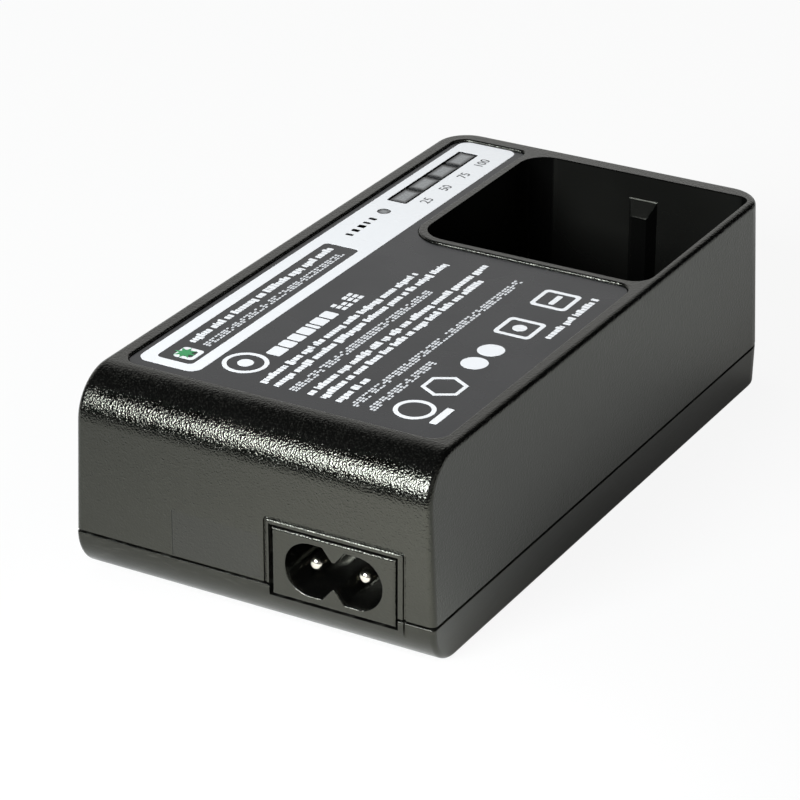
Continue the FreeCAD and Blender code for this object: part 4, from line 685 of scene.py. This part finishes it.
# %% Heading and power row
HEADING_HEAD, HEADING_FOOT, HEADING_START = -10.2, -7.6, -38.4
HEADING_WIDTHS = np.array((3.0, 2.2, 2.2, 2.4, 0.8, 2.4, 2.3))
HEADING_GAP, HEADING_ROUND = 0.5, 0.3
HEADING_CLUSTERS, HEADING_MIDDLE = (-18.3, -14.8), -8.9
starts = HEADING_START + np.concatenate([[0.0], np.cumsum(HEADING_WIDTHS + HEADING_GAP)[:-1]])
heading = [block_shape(HEADING_HEAD, HEADING_FOOT, y, y + width, HEADING_ROUND)
           for y, width in zip(starts, HEADING_WIDTHS)]
heading += [shape for y in HEADING_CLUSTERS for shape in cluster_row(HEADING_MIDDLE, y, y + 3.2, 3.1)]
build("print_heading", heading, print_white)
POWER_HEAD, POWER_FOOT, POWER_START, POWER_STEP = -23.35, -21.95, 8.3, 1.95
POWER_WIDTHS = np.array((0.75, 0.95, 1.15, 0.7, 0.8))
starts = POWER_START + np.arange(len(POWER_WIDTHS)) * POWER_STEP
power_row = [block_shape(POWER_HEAD, POWER_FOOT, y, y + width) for y, width in zip(starts, POWER_WIDTHS)]
build("print_power_row", power_row, print_black)

# %% [markdown]
# ### Signs as plain shapes
# A ring with a dot stands before the heading, and a row of simple signs ends the panel: a ring with a bar
# beside it, a hexagon, two dots, a square with a dot and a square with a bar. A star in a small frame marks
# the flashing lamp.

# %% Signs
STROKE = 0.75
SIGN_X, SIGN_REACH, SIGN_ROUND = 19.8, 3.3, 0.9
HEADING_SIGN = (-10.95, -43.0)
DOT_PLACES, DOT_RADIUS = (-25.6, -20.2), 2.2
DOT_SQUARE_Y, BAR_SQUARE_Y = -10.6, 1.8


def ring_sign(x, y, reach, sides=32, turn=0.0):
    """A ring, or a frame with few sides: a band between two regular outlines one stroke apart."""
    return framed(round_outline(x, y, reach, sides, turn), round_outline(x, y, reach - STROKE, sides, turn))


def square_sign(x, y, reach, radius):
    """A square frame with round corners: a band between two squares one stroke apart."""
    outer = rounded_outline(x - reach, x + reach, y - reach, y + reach, radius)
    less = reach - STROKE
    return framed(outer, rounded_outline(x - less, x + less, y - less, y + less, radius - STROKE / 2))


signs = [
    ring_sign(*HEADING_SIGN, 3.7),
    on_film(round_outline(*HEADING_SIGN, 1.3)),
    ring_sign(SIGN_X, -44.4, SIGN_REACH),
    ring_sign(SIGN_X, -35.1, SIGN_REACH + 0.4, 6, np.pi / 6),
    on_film(rounded_outline(SIGN_X + 4.0, SIGN_X + 5.3, -47.3, -41.5, 0.2)),
    *(on_film(round_outline(SIGN_X, y, DOT_RADIUS)) for y in DOT_PLACES),
    square_sign(SIGN_X, DOT_SQUARE_Y, SIGN_REACH, SIGN_ROUND),
    on_film(round_outline(SIGN_X, DOT_SQUARE_Y, 1.2)),
    square_sign(SIGN_X, BAR_SQUARE_Y, SIGN_REACH, SIGN_ROUND),
    on_film(rounded_outline(SIGN_X - 0.5, SIGN_X + 0.5, 0.0, 3.6, 0.3)),
    square_sign(-20.4, -44.5, 1.9, 0.7),
]
build("print_signs", signs, print_white)
STAR_PLACE, STAR_OUTER, STAR_INNER, STAR_POINTS = (-21.0, -44.6), 1.9, 0.9, 8
star = star_outline(*STAR_PLACE, STAR_OUTER, STAR_INNER, STAR_POINTS) + PRINT_ORIGIN
build("print_lamp_star", [pad(star, film_top + INK, film_top + 2 * INK)], print_green)

# %% [markdown]
# ### Numbers of the gauge
# Plain numbers beside the four lamps show how full the battery is. They are text turned into a mesh before
# it gets its place, because the export wants every object at the origin, and made solid as the field is.

# %% Gauge numbers
GAUGE = ("25", "50", "75", "100")
NUMBER_X, NUMBER_HEIGHT = -18.6, 1.75
FONT_DIGIT = 0.7
CURVE_STEPS = 4


def number_mesh(text, y):
    """A number that reads along +Y with its head towards -X, scaled from the height of the font's digits."""
    curve = bpy.data.curves.new("number", "FONT")
    curve.body = text
    curve.align_x, curve.align_y = "CENTER", "CENTER"
    curve.resolution_u = CURVE_STEPS
    drawn, faces = filled(curve)
    drawn = drawn * NUMBER_HEIGHT / FONT_DIGIT
    place = np.column_stack([NUMBER_X - drawn[:, 1], y + drawn[:, 0]]) + PRINT_ORIGIN
    return thick_sheet(place, faces, film_top + INK, film_top + 2 * INK)


numbers = [number_mesh(text, y) for text, y in zip(GAUGE, lens_y - PRINT_ORIGIN[1])]
build("print_gauge_numbers", numbers, print_black)

# %% [markdown]
# ## Screws
# Four self-cutting screws hold the shells together, sunk in the underside. Each is a lathe shape: rings of
# points from the middle of the drive recess out over the head, up the shank and in to the tip. The radius
# follows a helix on the shank for the thread, and the head's face sinks along a cross for the driver.

# %% Screw surface
SCREW_SIDES, FACE_RINGS, EDGE_RINGS, SHANK_RINGS = 72, 30, 4, 60
HEAD_RADIUS, HEAD_FACE, HEAD_SEAT, HEAD_ROUND = 2.5, 0.7, 2.6, 0.25
SHANK_RADIUS, SHANK_END, TIP_RADIUS, TIP_LENGTH = 1.3, 8.6, 0.3, 0.6
THREAD_PITCH, THREAD_DEPTH = 0.9, 0.28
CROSS_WIDTH, CROSS_REACH, CROSS_DEPTH = 0.62, 1.5, 1.0
CROSS_SLOPE, CROSS_TAPER = 0.12, 0.5
FACE_START = 0.02


def rings_round(angle, radius, height):
    """Rings about the axis: radius times the cosine and the sine of the angle, at a height."""
    x, y = radius * np.cos(angle), radius * np.sin(angle)
    return np.stack([x, y, np.broadcast_to(height, x.shape)], -1)


def screw(x, y):
    """Rings round the axis. The head's face sinks by a smooth cross, which is deep where a point is near an
    arm's middle line and shallow towards its end. The shank's radius dips between the turns of a helix."""
    angle = np.linspace(0, 2 * np.pi, SCREW_SIDES, endpoint=False)
    flat_radius = HEAD_RADIUS - HEAD_ROUND
    face_radius = np.linspace(FACE_START, flat_radius, FACE_RINGS)[:, None]
    px, py = face_radius * np.cos(angle), face_radius * np.sin(angle)
    arm = np.minimum(np.abs(px), np.abs(py))
    wall = np.clip((CROSS_WIDTH / 2 - arm) / CROSS_SLOPE + 0.5, 0, 1)
    taper = np.clip((CROSS_REACH - np.hypot(px, py)) / CROSS_TAPER, 0, 1)
    edge = np.linspace(0, np.pi / 2, EDGE_RINGS + 1)[1:, None]
    shank_z = np.linspace(HEAD_SEAT, SHANK_END - TIP_LENGTH, SHANK_RINGS)[:, None]
    turn = (shank_z / THREAD_PITCH - angle / (2 * np.pi)) % 1.0
    grid = np.concatenate([
        rings_round(angle, face_radius, HEAD_FACE + CROSS_DEPTH * wall * taper),
        rings_round(angle, flat_radius + HEAD_ROUND * np.sin(edge),
                    HEAD_FACE + HEAD_ROUND - HEAD_ROUND * np.cos(edge)),
        rings_round(angle, np.full((1, 1), HEAD_RADIUS), HEAD_SEAT),
        rings_round(angle, SHANK_RADIUS - THREAD_DEPTH * np.abs(2 * turn - 1), shank_z),
        rings_round(angle, np.full((1, 1), TIP_RADIUS), SHANK_END),
    ])
    count = len(grid)
    points = grid.reshape(-1, 3) + np.array((x, y, 0.0))
    last = count * SCREW_SIDES - 1
    caps = [list(range(last, last - SCREW_SIDES, -1)), list(range(SCREW_SIDES))]
    return points, [*ring_faces(count, SCREW_SIDES, False)[:, ::-1].tolist(), *caps]


SCREW_PLACES = ((-24.45, -48.0), (24.45, -41.0), (-17.2, 47.0), (24.0, 47.0))
screws = build("housing_screws_threaded", [screw(*place) for place in SCREW_PLACES], zinc)
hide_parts("housing_screws")

# %% [markdown]
# ## Table, backdrop and light
# The case stands on a white table in front of white. Its gloss mirrors a dimmer room: a pale backdrop behind
# on the left, which ends about thirty-five degrees up, a dim panel at the front right, and dark for the rest.
# So the top shines evenly, and the rounded front edge turns black before it meets the key light. The key is
# a softbox low in front, a little to the left, and draws the bright band along that edge. A large fill hangs
# over the left, and a small spot brightens the table before the inlet. These two have no mirror image, as
# they would grey the black. The table is clear from below and where it meets the case, and a pale light
# from under it shows the underside.

# %% Table
TABLE_SIDE, TABLE_FRONT, TABLE_REAR, TABLE_TOP = 1.2, -0.16, 1.6, -0.05 * MM
corners = np.array([
    (-TABLE_SIDE, TABLE_FRONT, TABLE_TOP), (TABLE_SIDE, TABLE_FRONT, TABLE_TOP),
    (TABLE_SIDE, TABLE_REAR, TABLE_TOP), (-TABLE_SIDE, TABLE_REAR, TABLE_TOP),
])
table_mesh = bpy.data.meshes.new("white_table")
table_mesh.from_pydata(corners.tolist(), [], [(0, 1, 2, 3)])
table = bpy.data.objects.new("white_table", table_mesh)
bpy.context.scene.collection.objects.link(table)
print("table front edge at", TABLE_FRONT, "m")

# %% Table finish
WHITE, CLOTH = (1, 1, 1, 1), (0.69, 0.69, 0.66, 1)
CAMERA_GLOW, MIRROR_GLOW = 0.91, 0.12
TOUCH_LENGTH = 0.3 * MM

table_white = bpy.data.materials.new("table_white")
table_white.use_nodes = True
tree = table_white.node_tree
tree.nodes.clear()
path = add(tree, "ShaderNodeLightPath").outputs
seen = math_node(tree, "MAXIMUM", path["Is Camera Ray"], path["Is Transmission Ray"])
mirrored = math_node(tree, "MULTIPLY", path["Is Glossy Ray"], MIRROR_GLOW)
share = math_node(tree, "MAXIMUM", math_node(tree, "MULTIPLY", seen, CAMERA_GLOW), mirrored)
cloth = add(tree, "ShaderNodeBsdfDiffuse", None, Color=CLOTH)
glow = add(tree, "ShaderNodeEmission", None, Color=WHITE, Strength=1.0)
both = add(tree, "ShaderNodeMixShader", None, i0=share, i1=cloth.outputs[0], i2=glow.outputs[0])
clear = add(tree, "ShaderNodeBsdfTransparent")
behind = add(tree, "ShaderNodeNewGeometry").outputs["Backfacing"]
touching = math_node(tree, "LESS_THAN", path["Ray Length"], TOUCH_LENGTH)
hidden = math_node(tree, "MAXIMUM", behind, touching)
sheet = add(tree, "ShaderNodeMixShader", None, i0=hidden, i1=both.outputs[0], i2=clear.outputs[0])
add(tree, "ShaderNodeOutputMaterial", None, Surface=sheet.outputs[0])
table_mesh.materials.append(table_white)
print("table finish:", len(tree.nodes), "nodes")

# %% Backdrop
ROOM_DARK, BACKDROP_PALE, FRONT_PALE, UNDER_PALE = 0.006, 0.74, 0.30, 0.60
TOP_EDGE, LEFT_EDGE, REAR_EDGE = (0.55, 0.62), (-0.05, 0.10), (-0.2, 0.2)
FRONT_EDGE, FRONT_SIDE, FRONT_FOOT = (0.6, 0.9), 0.1, 0.1
UNDER_EDGE = (-0.45, -0.34)

world = bpy.data.worlds.new("studio")
bpy.context.scene.world = world
world.use_nodes = True
tree = world.node_tree
tree.nodes.clear()
direction = add(tree, "ShaderNodeTexCoord").outputs["Generated"]
across, toward, upward = add(tree, "ShaderNodeSeparateXYZ", None, Vector=direction).outputs
below_top = spread(tree, upward, *TOP_EDGE, 1.0, 0.0)
left_part = spread(tree, across, *LEFT_EDGE, 1.0, 0.0)
rear_part = spread(tree, toward, *REAR_EDGE, 0.0, 1.0)
panel = math_node(tree, "MULTIPLY", math_node(tree, "MULTIPLY", below_top, left_part), rear_part)
pale = spread(tree, panel, 0.0, 1.0, ROOM_DARK, BACKDROP_PALE)
front_right = spread(tree, math_node(tree, "SUBTRACT", across, toward), *FRONT_EDGE, 0.0, FRONT_PALE)
for limit in (
    math_node(tree, "GREATER_THAN", across, FRONT_SIDE),
    math_node(tree, "GREATER_THAN", upward, FRONT_FOOT),
    below_top,
):
    front_right = math_node(tree, "MULTIPLY", front_right, limit)
under = spread(tree, upward, *UNDER_EDGE, UNDER_PALE, 0.0)
pale = math_node(tree, "MAXIMUM", pale, math_node(tree, "MAXIMUM", front_right, under))
backdrop = add(tree, "ShaderNodeBackground", None, Color=WHITE, Strength=pale)
white = add(tree, "ShaderNodeBackground", None, Color=WHITE, Strength=1.0)
camera_ray = add(tree, "ShaderNodeLightPath").outputs["Is Camera Ray"]
sky = add(tree, "ShaderNodeMixShader", None, i0=camera_ray, i1=backdrop.outputs[0], i2=white.outputs[0])
add(tree, "ShaderNodeOutputWorld", None, Surface=sky.outputs[0])
print("backdrop:", len(tree.nodes), "nodes")


# %% Softboxes
def hang(name, lamp, place, aim):
    """Puts a lamp at a place and turns it to face the aim."""
    holder = bpy.data.objects.new(name, lamp)
    bpy.context.scene.collection.objects.link(holder)
    holder.location = place
    holder.rotation_euler = (Vector(aim) - Vector(place)).to_track_quat("-Z", "Y").to_euler()
    return holder


def softbox(name, place, aim, width, height, watts, colour=(1, 1, 1)):
    """A rectangular lamp at a place, turned to face the aim."""
    lamp = bpy.data.lights.new(name, "AREA")
    lamp.shape = "RECTANGLE"
    lamp.size, lamp.size_y = width, height
    lamp.energy = watts
    lamp.color = colour
    return hang(name, lamp, place, aim)


softbox("key_softbox", place=(-0.18, -0.865, 0.43), aim=(0, -0.06, 0.03), width=0.36, height=0.32,
        watts=19.0, colour=(0.89, 0.94, 1.0))
fill = softbox("fill_softbox", place=(-0.70, 0.10, 1.20), aim=(0, 0, 0.02), width=1.0, height=1.0, watts=5.6)
fill.visible_glossy = False

# %% Spot on the table
SPOT_WATTS, SPOT_ANGLE, SPOT_BLEND, SPOT_RADIUS = 48.0, math.radians(12.5), 1.0, 0.03
spot_lamp = bpy.data.lights.new("table_spot", "SPOT")
spot_lamp.energy = SPOT_WATTS
spot_lamp.spot_size, spot_lamp.spot_blend = SPOT_ANGLE, SPOT_BLEND
spot_lamp.shadow_soft_size = SPOT_RADIUS
spot = hang("table_spot", spot_lamp, place=(0.25, -0.50, 0.55), aim=(0.035, -0.130, 0))
spot.visible_glossy = False
print("lamps:", [light.name for light in bpy.data.lights])
